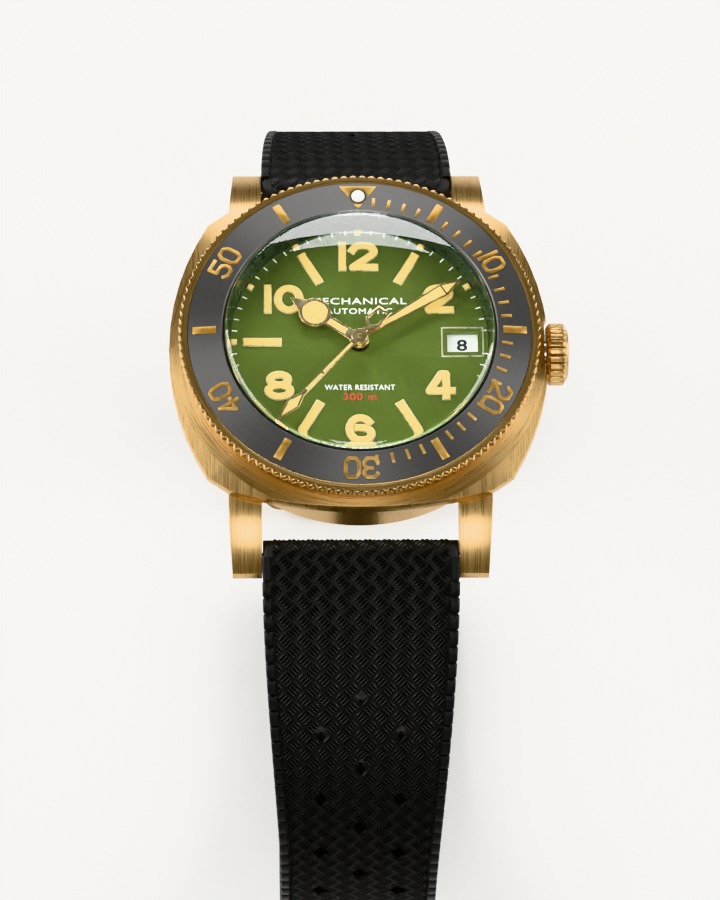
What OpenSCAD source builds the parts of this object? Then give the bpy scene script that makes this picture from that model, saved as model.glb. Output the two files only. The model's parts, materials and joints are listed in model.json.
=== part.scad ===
// Mechanical dive watch: cushion case, ratchet bezel, automatic date movement and rubber strap.
// Frame: +Z is the dial normal, +Y points to 12 o'clock, +X to the crown. The origin is the
// centre of the flat rear face of the case back, on the axis of the hands.

/* [Case] */
// Width of the cushion flange from 9 to 3 o'clock
case_w = 38.9; // [36:0.1:44]
// Height of the cushion flange from 6 to 12 o'clock
case_h = 36.6; // [34:0.1:40]
// Underside of the cushion flange
flange_z0 = 5.5; // [5:0.05:6]
// Top of the flange beside the bezel
flange_z1 = 7.05; // [6.6:0.05:7.2]
// Fall of the flange top for each millimetre outwards
flange_fall = 0.12; // [0.05:0.01:0.2]
// Radius of the round barrel under the flange
barrel_r = 17.7; // [17:0.05:18.5]
// Height of the barrel's lower face
barrel_z0 = 1; // [0.8:0.05:1.4]
// Gap between the two lugs of a pair
lug_gap = 20; // [18:0.5:22]
// Outer half width of a pair of lugs at the root
lug_root_x = 13.35; // [12.8:0.05:14.5]
// Outer half width of a pair of lugs at the tip
lug_tip_x = 12.9; // [12.2:0.05:14]
// Distance of the lug tips from the centre
lug_tip_y = 23.4; // [22.6:0.1:26]
// Distance of the spring bars from the centre
bar_y = 21.4; // [21:0.1:24]
// Height of the spring bars
bar_z = 1.75; // [1.6:0.05:2.2]

/* [Bezel and crystal] */
// Outer radius of the coin edge
bezel_r = 18.45; // [18:0.05:20]
// Number of teeth on the coin edge
bezel_teeth = 120; // [60:60:120]
// Depth of the notches in the coin edge
notch_depth = 0.3; // [0.2:0.05:0.4]
// Height of the coin edge
tooth_h = 0.85; // [0.6:0.05:1.2]
// Outer radius of the bezel under its coin edge
skirt_r = 17.45; // [17.3:0.05:17.6]
// Outer radius of the case neck that the bezel turns on
neck_r = 16; // [15.6:0.05:16.2]
// Height of the top of the neck
neck_z1 = 9.4; // [9:0.05:9.5]
// Outer radius of the bezel insert
insert_r1 = 17.5; // [17:0.05:17.7]
// Inner radius of the bezel insert
insert_r0 = 13.95; // [13.9:0.05:14.2]
// Height of the insert's outer edge
insert_z1 = 10.25; // [10:0.05:10.6]
// Rise of the insert from its outer to its inner edge
insert_rise = 0.35; // [0:0.05:0.6]
// Radius of the crystal
crystal_r = 13.7; // [13.2:0.05:13.75]
// Height where the crystal's dome starts at its edge
crystal_edge_z = 11.1; // [10.8:0.05:11.6]
// Height of the crystal's crown
crystal_top_z = 13; // [12:0.1:14]
// Thickness of the crystal at the centre
crystal_t = 2.6; // [1.5:0.1:3]

/* [Crown] */
// Radius of the crown
crown_r = 3.2; // [2.6:0.05:3.4]
// Length of the crown
crown_l = 2.2; // [1.8:0.05:4]
// Height of the crown's axis
crown_z = 5.2; // [5:0.05:5.6]
// Number of flutes on the crown
crown_flutes = 24; // [16:1:32]
// How deep the crown tube reaches into the crown
tube_reach = 1.6; // [1:0.1:1.7]

/* [Dial and hands] */
// Radius of the dial
dial_r = 13.4; // [13.2:0.05:13.6]
// Height of the dial's face
dial_z = 6.9; // [6.8:0.05:7]
// Thickness of the dial
dial_t = 0.4; // [0.3:0.05:0.5]
// Hour shown by the hands
show_hour = 10; // [0:1:11]
// Minute shown by the hands
show_minute = 9.6; // [0:0.1:59.9]
// Second shown by the hands
show_second = 36.8; // [0:0.2:59.8]
// Centre radius of the numerals 6 and 12, and twice the height of the others' centres
numeral_r = 9.85; // [9:0.05:10.2]
// Distance from the centre line to the outer edge of the numerals 2, 4, 8 and 10
numeral_edge = 9.5; // [9:0.05:9.6]
// Height of the hour numerals
numeral_h = 3.2; // [2.6:0.05:3.5]
// Width of one broad digit
numeral_w = 2.9; // [2.2:0.05:3]
// Stroke of the hour numerals
numeral_stroke = 0.7; // [0.5:0.02:0.9]

/* [Strap] */
// Play between the strap and each lug
strap_play = 0.1; // [0.05:0.05:0.3]
// Width of the strap at the buckle
strap_w1 = 16; // [14:0.5:18]
// Thickness of the strap at the lugs
strap_t0 = 3.2; // [2.8:0.1:3.6]
// Thickness of the strap past its taper
strap_t1 = 2.2; // [1.8:0.1:2.6]
// Length of the strap half with the buckle
short_half = 70; // [64:1:75]
// Length of the strap half with the holes
long_half = 115; // [108:1:122]
// Angle below the horizontal at which the 6 o'clock half leaves its bar
strap_fall = 18; // [10:1:30]
// The same for the 12 o'clock half
buckle_side_fall = 28; // [10:1:35]

/* [Movement] */
// Radius of the movement
movement_r = 12.8; // [12.4:0.05:13]
// Module of the first stage of the going train
stage1_module = 0.085; // [0.08:0.005:0.09]
// Module of the barrel's teeth
barrel_module = 0.13; // [0.1:0.01:0.13]
// Module of the fourth wheel's teeth
fourth_module = 0.07; // [0.06:0.005:0.08]

/* [Hidden] */

$fn = 64;
eps = 0.01;
fit = 0.05;

// Cushion outline: two side arcs and two end arcs, joined by short straight corners
side_sag = 3.95;
side_half = 14.65;
end_sag = 2;
end_half = 13.25;

// Case openings
cavity_r = dial_r + 0.7;
rehaut_z1 = 8.45;
back_z = 0;
back_r = 16.4;
thread_r = 15.2;
thread_z1 = 3;
gasket_r0 = 15.5;
gasket_r1 = 16;
bar_pin_r = 0.4;
bar_tube_r = 0.85;
strap_eye_r = strap_t0 / 2 + 0.06;

// Bezel
bezel_z0 = flange_z1 + 0.25;
seat_z = insert_z1 - 0.7;
rim_z = insert_z1;
tooth_z1 = rim_z - 0.06;
tooth_z0 = tooth_z1 - tooth_h;
tooth_root_r = bezel_r - notch_depth - 0.05;
pearl_r = 15.75;
pearl_cup_r = 0.85;
inlay_mid_r = 15.8;
snap_z = bezel_z0 + 0.85;

// Crown: its inner face lies just inside the flange
crown_x0 = case_w / 2 - 0.3;
tube_r = 1.45;
crown_bore = tube_reach + 0.15;
stem_r = 0.6;
stem_x0 = 6.6;
stem_pinion_teeth = 13;
stem_pinion_module = 0.11;

// Dial: its feet sit in blind holes in the movement ring; the date shows in a window with a frame
foot_dirs = [35, 215];
foot_r = 0.15;
foot_len = 0.9;
foot_at_r = movement_r + 0.3;
date_x0 = 8.8;
date_x1 = 11.85;
date_h = 2.2;
date_frame = 0.5;
date_frame_line = 0.15;
marker_border = 0.07;
marker_t = 0.06;

// Hands
hour_z = dial_z + 0.55;
minute_z = dial_z + 0.95;
second_z = dial_z + 1.35;
hand_t = 0.16;
lume_t = 0.06;
second_angle = show_second * 6;
minute_angle = show_minute * 6;
hour_angle = show_hour * 30 + show_minute / 2;

// Going train: places of the wheels around the centre
center_teeth = 80;
third_pinion_teeth = 10;
third_teeth = 75;
fourth_pinion_teeth = 10;
fourth_teeth = 84;
escape_pinion_teeth = 7;
barrel_teeth = 72;
center_pinion_teeth = 12;
stage1_dist = (center_teeth + third_pinion_teeth) * stage1_module / 2;
stage2_module = 2 * stage1_dist / (third_teeth + fourth_pinion_teeth);
escape_dist = (fourth_teeth + escape_pinion_teeth) * fourth_module / 2;
barrel_dist = (barrel_teeth + center_pinion_teeth) * barrel_module / 2;
third_dir = 200;
escape_dir = 262;
barrel_dir = 55;
balance_dir = 318;
balance_dist = 7.4;
third_at = polar(stage1_dist, third_dir);
escape_at = polar(escape_dist, escape_dir);
barrel_at = polar(barrel_dist, barrel_dir);
balance_at = polar(balance_dist, balance_dir);

// Winding work
ratchet_module = 0.13;
ratchet_teeth = 52;
crown_wheel_teeth = 26;
crown_wheel_dir = 285;
crown_wheel_at = barrel_at
    + polar((ratchet_teeth + crown_wheel_teeth) * ratchet_module / 2, crown_wheel_dir);

// Motion work
cannon_teeth = 12;
minute_wheel_teeth = 36;
minute_pinion_teeth = 10;
hour_wheel_teeth = 40;
motion_module = 0.1;
motion_dist = (cannon_teeth + minute_wheel_teeth) * motion_module / 2;
hour_module = 2 * motion_dist / (minute_pinion_teeth + hour_wheel_teeth);
motion_dir = 100;
motion_at = polar(motion_dist, motion_dir);
date_wheel_teeth = 80;
date_dist = (hour_wheel_teeth + date_wheel_teeth) * hour_module / 2;
date_dir = 235;
date_at = polar(date_dist, date_dir);

// Heights inside the movement
rotor_z = 1.5;
rotor_t = 0.55;
auto_z = 2.2;
auto_t = 0.35;
bridge_z = 2.75;
bridge_t = 0.5;
ratchet_z = 2.62;
barrel_z = 3.43;
barrel_h = 0.76;
center_wheel_z = 4.23;
escape_z = 3.85;
third_wheel_z = 3.85;
fourth_wheel_z = 3.45;
train_t = 0.14;
plate_z = 4.4;
plate_t = 0.75;
motion_z = 5.25;
hour_wheel_z = 5.75;
date_z = 6.05;
ring_gap = 0.05;
balance_z = 3.55;
balance_r = 3.6;
cock_foot = polar(movement_r - 1.5, -60);
bridge_foot = polar(movement_r - 1.5, 150);

// Strap: the heading at its bar, then the stretches as [radius, heading at the end]
short_arcs = [buckle_side_fall, [36, 62], [30, 95], [50, 180]];
long_arcs = [strap_fall, [34, 58], [30, 100], [36, 180]];
hole_start = 14;
hole_pitch = 3.7;
hole_half = 0.95;
hole_side = 4.05;
taper_len = 39;
strap_step = 2;
tip_len = 6;
buckle_eye_r = 1.35;
buckle_bar_r = 0.7;
buckle_len = 12;
buckle_t = 1.6;
buckle_arm = 1.5;
tongue_slot = 2.8;
keeper_w = 5;
keeper_wall = 1.2;
keeper_gap = 0.35;
fixed_keeper_s = short_half - 7;
sliding_keeper_s = short_half - 19;

bronze = "#a9793f";
steel = "#b9bcc0";
brass = "#c9a24f";
lume_colour = "#e8dfae";
rubber = "#1c1c1e";
black = "#111111";
ruby = "#a8224a";

function polar(r, a) = [r * cos(a), r * sin(a)];
// Radius of the circle through a chord's ends and its crown
function arc_radius(sag, half) = (sag * sag + half * half) / (2 * sag);

// ---------- shared shapes ----------

module disc(r, z0, z1) {
    translate([0, 0, z0])
        cylinder(r = r, h = z1 - z0);
}

module ring(r0, r1, z0, z1) {
    rotate_extrude($fn = 128)
        polygon([[r0, z0], [r1, z0], [r1, z1], [r0, z1]]);
}

// A spur gear with slim pointed teeth, centred on Z
module gear(teeth, module_mm, thickness, bore, phase = 0) {
    pitch_r = teeth * module_mm / 2;
    root_r = pitch_r - 1.15 * module_mm;
    tip_r = pitch_r + 0.85 * module_mm;
    step = 360 / teeth;
    linear_extrude(thickness)
        difference() {
            polygon([
                for (i = [0:teeth - 1])
                    for (p = [[root_r, -0.23], [tip_r, -0.09], [tip_r, 0.09], [root_r, 0.23]])
                        polar(p[0], phase + (i + p[1]) * step)
            ]);
            circle(r = bore, $fn = 32);
        }
}

// Spoked wheel: a rim with teeth, a hub and arms
module wheel(teeth, module_mm, thickness, hub_r, bore, arms, phase = 0) {
    inner = teeth * module_mm / 2 - 4 * module_mm;
    difference() {
        gear(teeth, module_mm, thickness, bore, phase);
        translate([0, 0, -eps])
            linear_extrude(thickness + 2 * eps)
                difference() {
                    circle(r = inner);
                    circle(r = hub_r, $fn = 32);
                    for (i = [0:arms - 1])
                        rotate(phase + i * 360 / arms)
                            translate([0, -0.14])
                                square([inner + 1, 0.28]);
                }
    }
}

// Stroke along a list of points, with rounded bends and square ends
module stroke(pts, w) {
    last = len(pts) - 1;
    closed = norm(pts[0] - pts[last]) < eps;
    cap = closed ? 0 : w / 2;
    for (i = [0:last - 1]) {
        d = pts[i + 1] - pts[i];
        before = i == 0 ? cap : 0;
        after = i == last - 1 ? cap : 0;
        translate(pts[i])
            rotate(atan2(d[1], d[0]))
                translate([-before, -w / 2])
                    square([before + norm(d) + after, w]);
        if (closed || i > 0)
            translate(pts[i])
                circle(d = w, $fn = 24);
    }
}

// Points along an arc of an ellipse
function bow(c, rx, ry, a0, a1, n = 12) =
    [for (i = [0:n]) let (a = a0 + (a1 - a0) * i / n) c + [rx * cos(a), ry * sin(a)]];

// Skeletons of the digits on a square from -1 to 1, rounded for the dial
function round_strokes(d) =
    d == 0 ? [bow([0, 0], 1, 1, 0, 360, 24)] :
    d == 1 ? [[[0, 1], [0, -1]]] :
    d == 2 ? [concat(bow([0, 0.45], 1, 0.55, 165, -30), [[-0.95, -1], [1, -1]])] :
    d == 4 ? [[[0.5, -1], [0.5, 1], [0.05, 1], [-1, -0.5], [1, -0.5]]] :
    d == 6 ? [bow([0, 0], 1, 1, 40, 270, 18),
              concat([[-0.2, 0.12]], bow([0.1, -0.44], 0.9, 0.56, 90, -90), [[0, -1]])] :
             [bow([0, 0.52], 0.82, 0.48, 0, 360, 20), bow([0, -0.48], 1, 0.52, 0, 360, 20)];

// Skeletons of the squared digits of the bezel
function digit_strokes(d) =
    d == 0 ? [[[-1, 0.55], [-0.55, 1], [0.55, 1], [1, 0.55], [1, -0.55], [0.55, -1], [-0.55, -1],
               [-1, -0.55], [-1, 0.55]]] :
    d == 1 ? [[[0, 1], [0, -1]]] :
    d == 2 ? [[[-1, 0.5], [-0.6, 1], [0.6, 1], [1, 0.6], [1, 0.25], [-1, -1], [1, -1]]] :
    d == 3 ? [[[-1, 0.65], [-0.55, 1], [0.55, 1], [1, 0.65], [1, 0.35], [0.6, 0.05], [-0.1, 0.05]],
              [[0.6, 0.05], [1, -0.3], [1, -0.6], [0.55, -1], [-0.55, -1], [-1, -0.65]]] :
    d == 4 ? [[[0.35, -1], [0.35, 1], [-1, -0.4], [1, -0.4]]] :
             [[[0.9, 1], [-0.9, 1], [-0.9, 0.15], [0.55, 0.15], [1, -0.2], [1, -0.6], [0.55, -1],
               [-0.55, -1], [-1, -0.7]]];

module digit(paths, w, h, s) {
    for (path = paths)
        stroke([for (p = path) [p[0] * (w - s) / 2, p[1] * (h - s) / 2]], s);
}

// Width of a number whose broad digits are w wide; a 1 is as wide as its stroke
function digit_gap(s) = 0.45 * s;
function tens_width(n, w, s) = floor(n / 10) == 1 ? s : w;
function number_width(n, w, s) = n < 10 ? w : tens_width(n, w, s) + digit_gap(s) + w;

// A number of one or two digits, centred; extra widens every stroke
module number(n, w, h, s, extra = 0, rounded = false) {
    tens = floor(n / 10);
    ones = n % 10;
    tens_w = tens_width(n, w, s);
    total = number_width(n, w, s);
    if (tens > 0)
        translate([(tens_w - total) / 2, 0])
            digit(rounded ? round_strokes(tens) : digit_strokes(tens),
                  tens_w + extra, h + extra, s + extra);
    translate([(total - w) / 2, 0])
        digit(rounded ? round_strokes(ones) : digit_strokes(ones),
              w + extra, h + extra, s + extra);
}

// ---------- case ----------

function cushion(inset = 0) =
    let (hw = case_w / 2 - inset, hh = case_h / 2 - inset,
         rs = arc_radius(side_sag, side_half), re = arc_radius(end_sag, end_half),
         side = [for (i = [-6:6]) let (a = asin(side_half / rs) * i / 6)
                 [hw - rs + rs * cos(a), (rs - inset) * sin(a)]],
         end = [for (i = [6:-1:-6]) let (a = asin(end_half / re) * i / 6)
                [(re - inset) * sin(a), hh - re + re * cos(a)]])
    concat(side, end, [for (p = side) -p], [for (p = end) -p]);

function lug_top(y) = flange_z0 - (flange_z0 - 1.9) * pow((y - 15) / (lug_tip_y - 15), 1.9);

module lug_profile() {
    tip_r = 0.9;
    polygon(concat(
        [[9, 1.2], [15, 1.2], [18.5, 0.3], [21.6, 0.15], [lug_tip_y - tip_r, 0.15]],
        [for (i = [1:4]) [lug_tip_y - tip_r, 0.15 + tip_r] + polar(tip_r, -90 + i * 22.5)],
        [for (i = [12:-1:0]) let (y = 15 + (lug_tip_y - 15) * i / 12) [y, lug_top(y)]],
        [[15, flange_z0 + 0.2], [9, flange_z0 + 0.2]]
    ));
}

module lug_pair() {
    intersection() {
        rotate([90, 0, 90])
            linear_extrude(2 * lug_root_x, center = true)
                lug_profile();
        linear_extrude(flange_z1)
            for (s = [-1, 1])
                scale([s, 1])
                    polygon([[lug_gap / 2, 8], [lug_root_x, 8], [lug_root_x, 17],
                             [lug_tip_x, lug_tip_y + 1], [lug_gap / 2, lug_tip_y + 1]]);
    }
}

module both_ends() {
    children();
    rotate(180)
        children();
}

module case_middle() {
    color(bronze)
        difference() {
            union() {
                intersection() {
                    translate([0, 0, flange_z0])
                        linear_extrude(flange_z1 - flange_z0)
                            polygon(cushion());
                    rotate_extrude($fn = 128)
                        polygon([[0, flange_z0], [24, flange_z0],
                                 [24, flange_z1 - flange_fall * (24 - neck_r)],
                                 [neck_r, flange_z1], [0, flange_z1]]);
                }
                rotate_extrude($fn = 128)
                    polygon([[0, barrel_z0], [barrel_r - 0.4, barrel_z0],
                             [barrel_r, barrel_z0 + 0.4], [barrel_r, flange_z0 + eps],
                             [0, flange_z0 + eps]]);
                disc(neck_r, flange_z1 - eps, neck_z1);
                both_ends()
                    lug_pair();
            }
            // Seats for the crystal, the movement and the case back
            disc(crystal_r + 0.45, rehaut_z1 - 0.8, neck_z1 + 1);
            disc(cavity_r, thread_z1 - eps, rehaut_z1);
            disc(thread_r, 0, thread_z1);
            ring(gasket_r0, gasket_r1, barrel_z0 - eps, barrel_z0 + 0.4);
            // Groove of the bezel's snap ring and pocket of its click spring
            ring(neck_r - 0.25, neck_r + 1, snap_z - 0.3, snap_z + 0.3);
            rotate([0, 0, 70])
                translate([neck_r + 0.1, -2.6, flange_z1 - 0.45])
                    cube([1.2, 5.2, 1]);
            // Recess for the crown and the hole of its tube
            along_x(crown_x0 - 0.15)
                cylinder(r = crown_r + 0.2, h = 5);
            translate([0, 0, crown_z])
                rotate([0, 90, 0])
                    cylinder(r = 1.5, h = 30, $fn = 48);
            // Blind holes for the spring bars
            both_ends()
                translate([0, bar_y, bar_z])
                    rotate([0, 90, 0])
                        cylinder(r = bar_pin_r + fit, h = lug_gap + 2.6, center = true, $fn = 32);
        }
}

module case_back() {
    color(steel)
        difference() {
            union() {
                rotate_extrude($fn = 128)
                    polygon([[0, back_z], [back_r - 1.6, back_z], [back_r - 0.4, 0.35],
                             [back_r, 0.6], [back_r, barrel_z0], [0, barrel_z0]]);
                disc(thread_r - fit, barrel_z0 - eps, 2.2);
            }
            disc(thread_r - 1, 1, 3);
            for (i = [0:5])
                rotate(i * 60)
                    translate([back_r - 2.2, -1, -eps])
                        cube([3, 2, 0.45]);
        }
}

module case_back_gasket() {
    color(black)
        ring(gasket_r0 + 0.02, gasket_r1 - 0.02, barrel_z0, barrel_z0 + 0.38);
}

module crystal() {
    sag = crystal_top_z - crystal_edge_z;
    dome_r = arc_radius(sag, crystal_r);
    under_r = arc_radius(sag, crystal_r - 0.5);
    half = asin(crystal_r / dome_r);
    under_half = asin((crystal_r - 0.5) / under_r);
    under_top = crystal_top_z - crystal_t;
    color("lightblue", 0.3)
        rotate_extrude($fn = 128)
            polygon(concat(
                [[crystal_r, rehaut_z1], [crystal_r, crystal_edge_z - 0.15]],
                [for (i = [10:-1:0]) let (a = half * 0.985 * i / 10)
                 [dome_r * sin(a), crystal_top_z - dome_r * (1 - cos(a))]],
                [for (i = [0:10]) let (a = under_half * i / 10)
                 [under_r * sin(a), under_top - under_r * (1 - cos(a))]]
            ));
}

module crystal_gasket() {
    color(black)
        rotate_extrude($fn = 128)
            polygon([[crystal_r + 0.01, rehaut_z1], [crystal_r + 0.44, rehaut_z1],
                     [crystal_r + 0.44, neck_z1], [crystal_r + 0.2, neck_z1],
                     [crystal_r + 0.2, insert_z1 + 0.3], [crystal_r + 0.01, insert_z1 + 0.3]]);
}

module rehaut_ring() {
    color(bronze)
        rotate_extrude($fn = 128)
            polygon([[dial_r - 0.5, dial_z + eps], [cavity_r - fit, dial_z + eps],
                     [cavity_r - fit, rehaut_z1 - eps], [dial_r - 0.1, rehaut_z1 - eps]]);
}

// ---------- bezel ----------

module coin_edge() {
    step = 360 / bezel_teeth;
    translate([0, 0, tooth_z0])
        linear_extrude(tooth_z1 - tooth_z0)
            polygon([
                for (i = [0:bezel_teeth - 1])
                    for (p = [[-0.5, 1], [-0.3, 0.38], [-0.12, 0], [0.12, 0], [0.3, 0.38]])
                        polar(bezel_r - p[1] * notch_depth, (i + p[0]) * step)
            ]);
}

module bezel_ring() {
    bore = neck_r + fit;
    color(bronze)
        difference() {
            union() {
                coin_edge();
                rotate_extrude($fn = 128)
                    polygon([[bore - 1, bezel_z0], [skirt_r, bezel_z0], [skirt_r, tooth_z0 - 0.5],
                             [tooth_root_r, tooth_z0], [tooth_root_r, rim_z], [bore - 1, rim_z]]);
            }
            disc(bore, bezel_z0 - 1, rim_z + 1);
            disc(insert_r1 + 0.02, seat_z, rim_z + 1);
            ring(bore - 1, bore + 0.3, snap_z - 0.28, snap_z + 0.28);
        }
}

module bezel_insert() {
    color("#3a3d40")
        difference() {
            rotate_extrude($fn = 128)
                polygon([[insert_r0, seat_z], [insert_r1, seat_z], [insert_r1, insert_z1],
                         [insert_r0 + 0.15, insert_z1 + insert_rise],
                         [insert_r0, insert_z1 + insert_rise - 0.1]]);
            translate([0, pearl_r, 0])
                disc(pearl_cup_r, 0, 20, $fn = 32);
        }
}

// Height of the insert's sloping face at a radius
function insert_face(r) = insert_z1 + insert_rise * (insert_r1 - r) / (insert_r1 - insert_r0 - 0.15);

module pearl_setting() {
    color(bronze)
        translate([0, pearl_r, 0])
            ring(pearl_cup_r - 0.15, pearl_cup_r - 0.01, seat_z, insert_face(pearl_r) + 0.15);
}

module bezel_pearl() {
    color(lume_colour)
        translate([0, pearl_r, 0]) {
            disc(pearl_cup_r - 0.16, seat_z, insert_face(pearl_r), $fn = 32);
            translate([0, 0, insert_face(pearl_r)])
                intersection() {
                    sphere(r = pearl_cup_r - 0.16, $fn = 32);
                    disc(1, -eps, 0.45);
                }
        }
}

// Flat gold markings, laid on the sloping face of the insert
module on_insert(angle, r) {
    rotate(-angle)
        translate([0, r, insert_face(r)])
            rotate([-atan(insert_rise / (insert_r1 - insert_r0)), 0, 0])
                linear_extrude(0.04)
                    children();
}

module bezel_inlays() {
    color(brass) {
        for (m = [1:29])
            if (m % 5 != 0)
                on_insert(m * 6, 15.05)
                    square([0.3, 1.1], center = true);
        for (m = [5:10:55])
            on_insert(m * 6, inlay_mid_r)
                square([0.8, 2.4], center = true);
        for (m = [10:10:50])
            on_insert(m * 6, inlay_mid_r)
                number(m, 1.7, 2.4, 0.37);
        on_insert(0, 14.55)
            difference() {
                polygon([[-1.9, 2.5], [1.9, 2.5], [0, -0.35]]);
                translate([0, pearl_r - 14.55])
                    circle(r = pearl_cup_r + 0.15, $fn = 32);
            }
    }
}

module bezel_snap_ring() {
    color(steel)
        rotate_extrude($fn = 96)
            translate([neck_r + fit + 0.08, snap_z])
                circle(r = 0.2, $fn = 16);
}

// Leaf spring in its pocket; the raised tip clicks under the bezel
module bezel_click_spring() {
    z = flange_z1 - 0.45;
    color(steel)
        rotate(70)
            translate([neck_r + 0.75, 0, 0])
                rotate([90, 0, 90])
                    linear_extrude(0.5, center = true)
                        polygon([[-2.4, z], [1.4, z], [2.4, flange_z1 + 0.05],
                                 [2.35, flange_z1 + 0.15], [1.2, z + 0.16], [-2.4, z + 0.16]]);
}

// ---------- crown ----------

module along_x(x, z = crown_z) {
    translate([x, 0, z])
        rotate([0, 90, 0])
            children();
}

module crown() {
    step = 360 / crown_flutes;
    color(bronze)
        along_x(crown_x0)
            difference() {
                union() {
                    rotate_extrude($fn = 96)
                        polygon([[0, 0], [crown_r - 0.5, 0], [crown_r - 0.3, 0.25],
                                 [crown_r - 0.3, crown_l - 0.3], [crown_r - 0.75, crown_l],
                                 [crown_r * 0.5, crown_l + 0.12], [0, crown_l + 0.16]]);
                    translate([0, 0, 0.25])
                        linear_extrude(crown_l - 0.6)
                            polygon([
                                for (i = [0:crown_flutes - 1])
                                    for (p = [[-0.5, 0.35], [-0.3, 0.06], [0, 0], [0.3, 0.06]])
                                        polar(crown_r - p[1], (i + p[0]) * step)
                            ]);
                }
                translate([0, 0, -1])
                    cylinder(r = tube_r + fit, h = 1 + crown_bore);
                translate([0, 0, 0.35])
                    cylinder(r = tube_r + 0.35, h = 0.5);
            }
}

module crown_gaskets() {
    color(black)
        along_x(crown_x0 + 0.36)
            rotate_extrude($fn = 64)
                polygon([[tube_r + 0.03, 0], [tube_r + 0.32, 0], [tube_r + 0.32, 0.48],
                         [tube_r + 0.03, 0.48]]);
}

module crown_tube() {
    color(steel)
        along_x(15)
            difference() {
                cylinder(r = tube_r, h = crown_x0 - 15 + tube_reach);
                translate([0, 0, -1])
                    cylinder(r = stem_r + 0.06, h = 20);
            }
}

module winding_stem() {
    color(steel)
        difference() {
            union() {
                along_x(stem_x0)
                    cylinder(r = stem_r - 0.05, h = crown_x0 - stem_x0 + crown_bore, $fn = 32);
                along_x(stem_x0 + 1.6)
                    gear(stem_pinion_teeth, stem_pinion_module, 0.7, 0.3);
            }
            along_x(stem_x0 + 4.6)
                rotate_extrude($fn = 32)
                    polygon([[0.35, 0], [1, 0], [1, 0.35], [0.35, 0.35]]);
        }
}

// ---------- winding work ----------

module ratchet_wheel() {
    color(steel)
        translate([barrel_at[0], barrel_at[1], ratchet_z])
            gear(ratchet_teeth, ratchet_module, 0.12, 0.6, crown_wheel_dir);
}

module crown_wheel() {
    color(steel)
        translate([crown_wheel_at[0], crown_wheel_at[1], ratchet_z])
            gear(crown_wheel_teeth, ratchet_module, 0.12, 0.5,
                 mesh_phase(crown_wheel_dir, crown_wheel_teeth));
}

// ---------- spring bars ----------

module spring_bar() {
    length = lug_gap - 0.4;
    color(steel)
        translate([0, bar_y, bar_z])
            rotate([0, 90, 0]) {
                cylinder(r = bar_tube_r, h = length, center = true, $fn = 32);
                cylinder(r = bar_pin_r, h = length + 2.4, center = true, $fn = 32);
            }
}

module spring_bar_12() {
    spring_bar();
}

module spring_bar_6() {
    rotate(180)
        spring_bar();
}

// ---------- strap ----------

deg = 180 / PI;

// State after the first i arcs: [distance run, y, z, heading]
function arc_state(arcs, i) =
    i == 0 ? [0, bar_y, bar_z, arcs[0]] :
    let (s = arc_state(arcs, i - 1), r = arcs[i][0], a = arcs[i][1])
    [s[0] + r * (a - s[3]) / deg, s[1] + r * (sin(a) - sin(s[3])),
     s[2] + r * (cos(a) - cos(s[3])), a];

// Centreline at a distance from the spring bar: [y, z, heading]
function strap_at(arcs, d, i = 1) =
    let (s = arc_state(arcs, i - 1), e = arc_state(arcs, i))
    i < len(arcs) - 1 && d > e[0] ? strap_at(arcs, d, i + 1) :
    let (run = min(d, e[0]) - s[0], r = arcs[i][0], a = s[3] + run / r * deg,
         flat = max(0, d - e[0]))
    [s[1] + r * (sin(a) - sin(s[3])) + flat * cos(a),
     s[2] + r * (cos(a) - cos(s[3])) - flat * sin(a), a];

function blend(t) = let (u = min(1, max(0, t))) u * u * (3 - 2 * u);
function strap_width(d) =
    lug_gap - 2 * strap_play - (lug_gap - 2 * strap_play - strap_w1) * blend(d / taper_len);
function strap_thick(d) = strap_t0 - (strap_t0 - strap_t1) * min(1, d / taper_len);

// A cross section's corners, with small chamfers: half width w, half thickness t
function strap_ring(arcs, d, w, t) =
    let (p = strap_at(arcs, d), c = min(0.35, 0.6 * t))
    [for (q = [[-w + c, -t], [w - c, -t], [w, -t + c], [w, t - c], [w - c, t], [-w + c, t],
               [-w, t - c], [-w, -t + c]])
     [q[0], p[0] + q[1] * sin(p[2]), p[1] + q[1] * cos(p[2])]];

// Rings from the rounded eye round the spring bar to the other end: a second eye for the
// buckle's bar, or a free end that narrows to a round tip
module strap_body(arcs, length, buckle_end) {
    n = ceil(length / strap_step);
    half_w = strap_width(0) / 2;
    end_w = strap_width(length) / 2;
    eye = [for (i = [5:-1:1]) let (a = i * 16)
           strap_ring(arcs, -strap_eye_r * sin(a), half_w, strap_eye_r * cos(a))];
    stop = buckle_end ? length - 1.5 : length - tip_len - 0.5;
    run = [for (i = [0:n]) let (d = stop * i / n)
           strap_ring(arcs, d, strap_width(d) / 2, strap_thick(d) / 2)];
    buckle_eye = [for (i = [0:5]) let (a = i * 16)
                  strap_ring(arcs, length + buckle_eye_r * sin(a), end_w, buckle_eye_r * cos(a))];
    tip = [for (i = [0:5]) let (a = i * 17)
           strap_ring(arcs, length + tip_len * (sin(a) - 1),
                      end_w * (0.1 + 0.9 * cos(a)), strap_t1 / 2)];
    rings = concat(eye, run, buckle_end ? buckle_eye : tip);
    m = len(rings);
    polyhedron(
        points = [for (s = rings) each s],
        faces = concat(
            [[for (k = [0:7]) k], [for (k = [7:-1:0]) (m - 1) * 8 + k]],
            [for (i = [0:m - 2]) for (k = [0:7])
             [i * 8 + k, (i + 1) * 8 + k, (i + 1) * 8 + (k + 1) % 8, i * 8 + (k + 1) % 8]]
        ),
        convexity = 8
    );
}

// Puts a child, drawn with X across, Y along and Z out of the strap, at a distance
module on_strap(arcs, d, x = 0) {
    p = strap_at(arcs, d);
    translate([x, p[0], p[1]])
        rotate([-p[2], 0, 0])
            children();
}

module strap_hole() {
    rotate(45)
        cube([hole_half * sqrt(2), hole_half * sqrt(2), 8], center = true);
}

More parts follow.
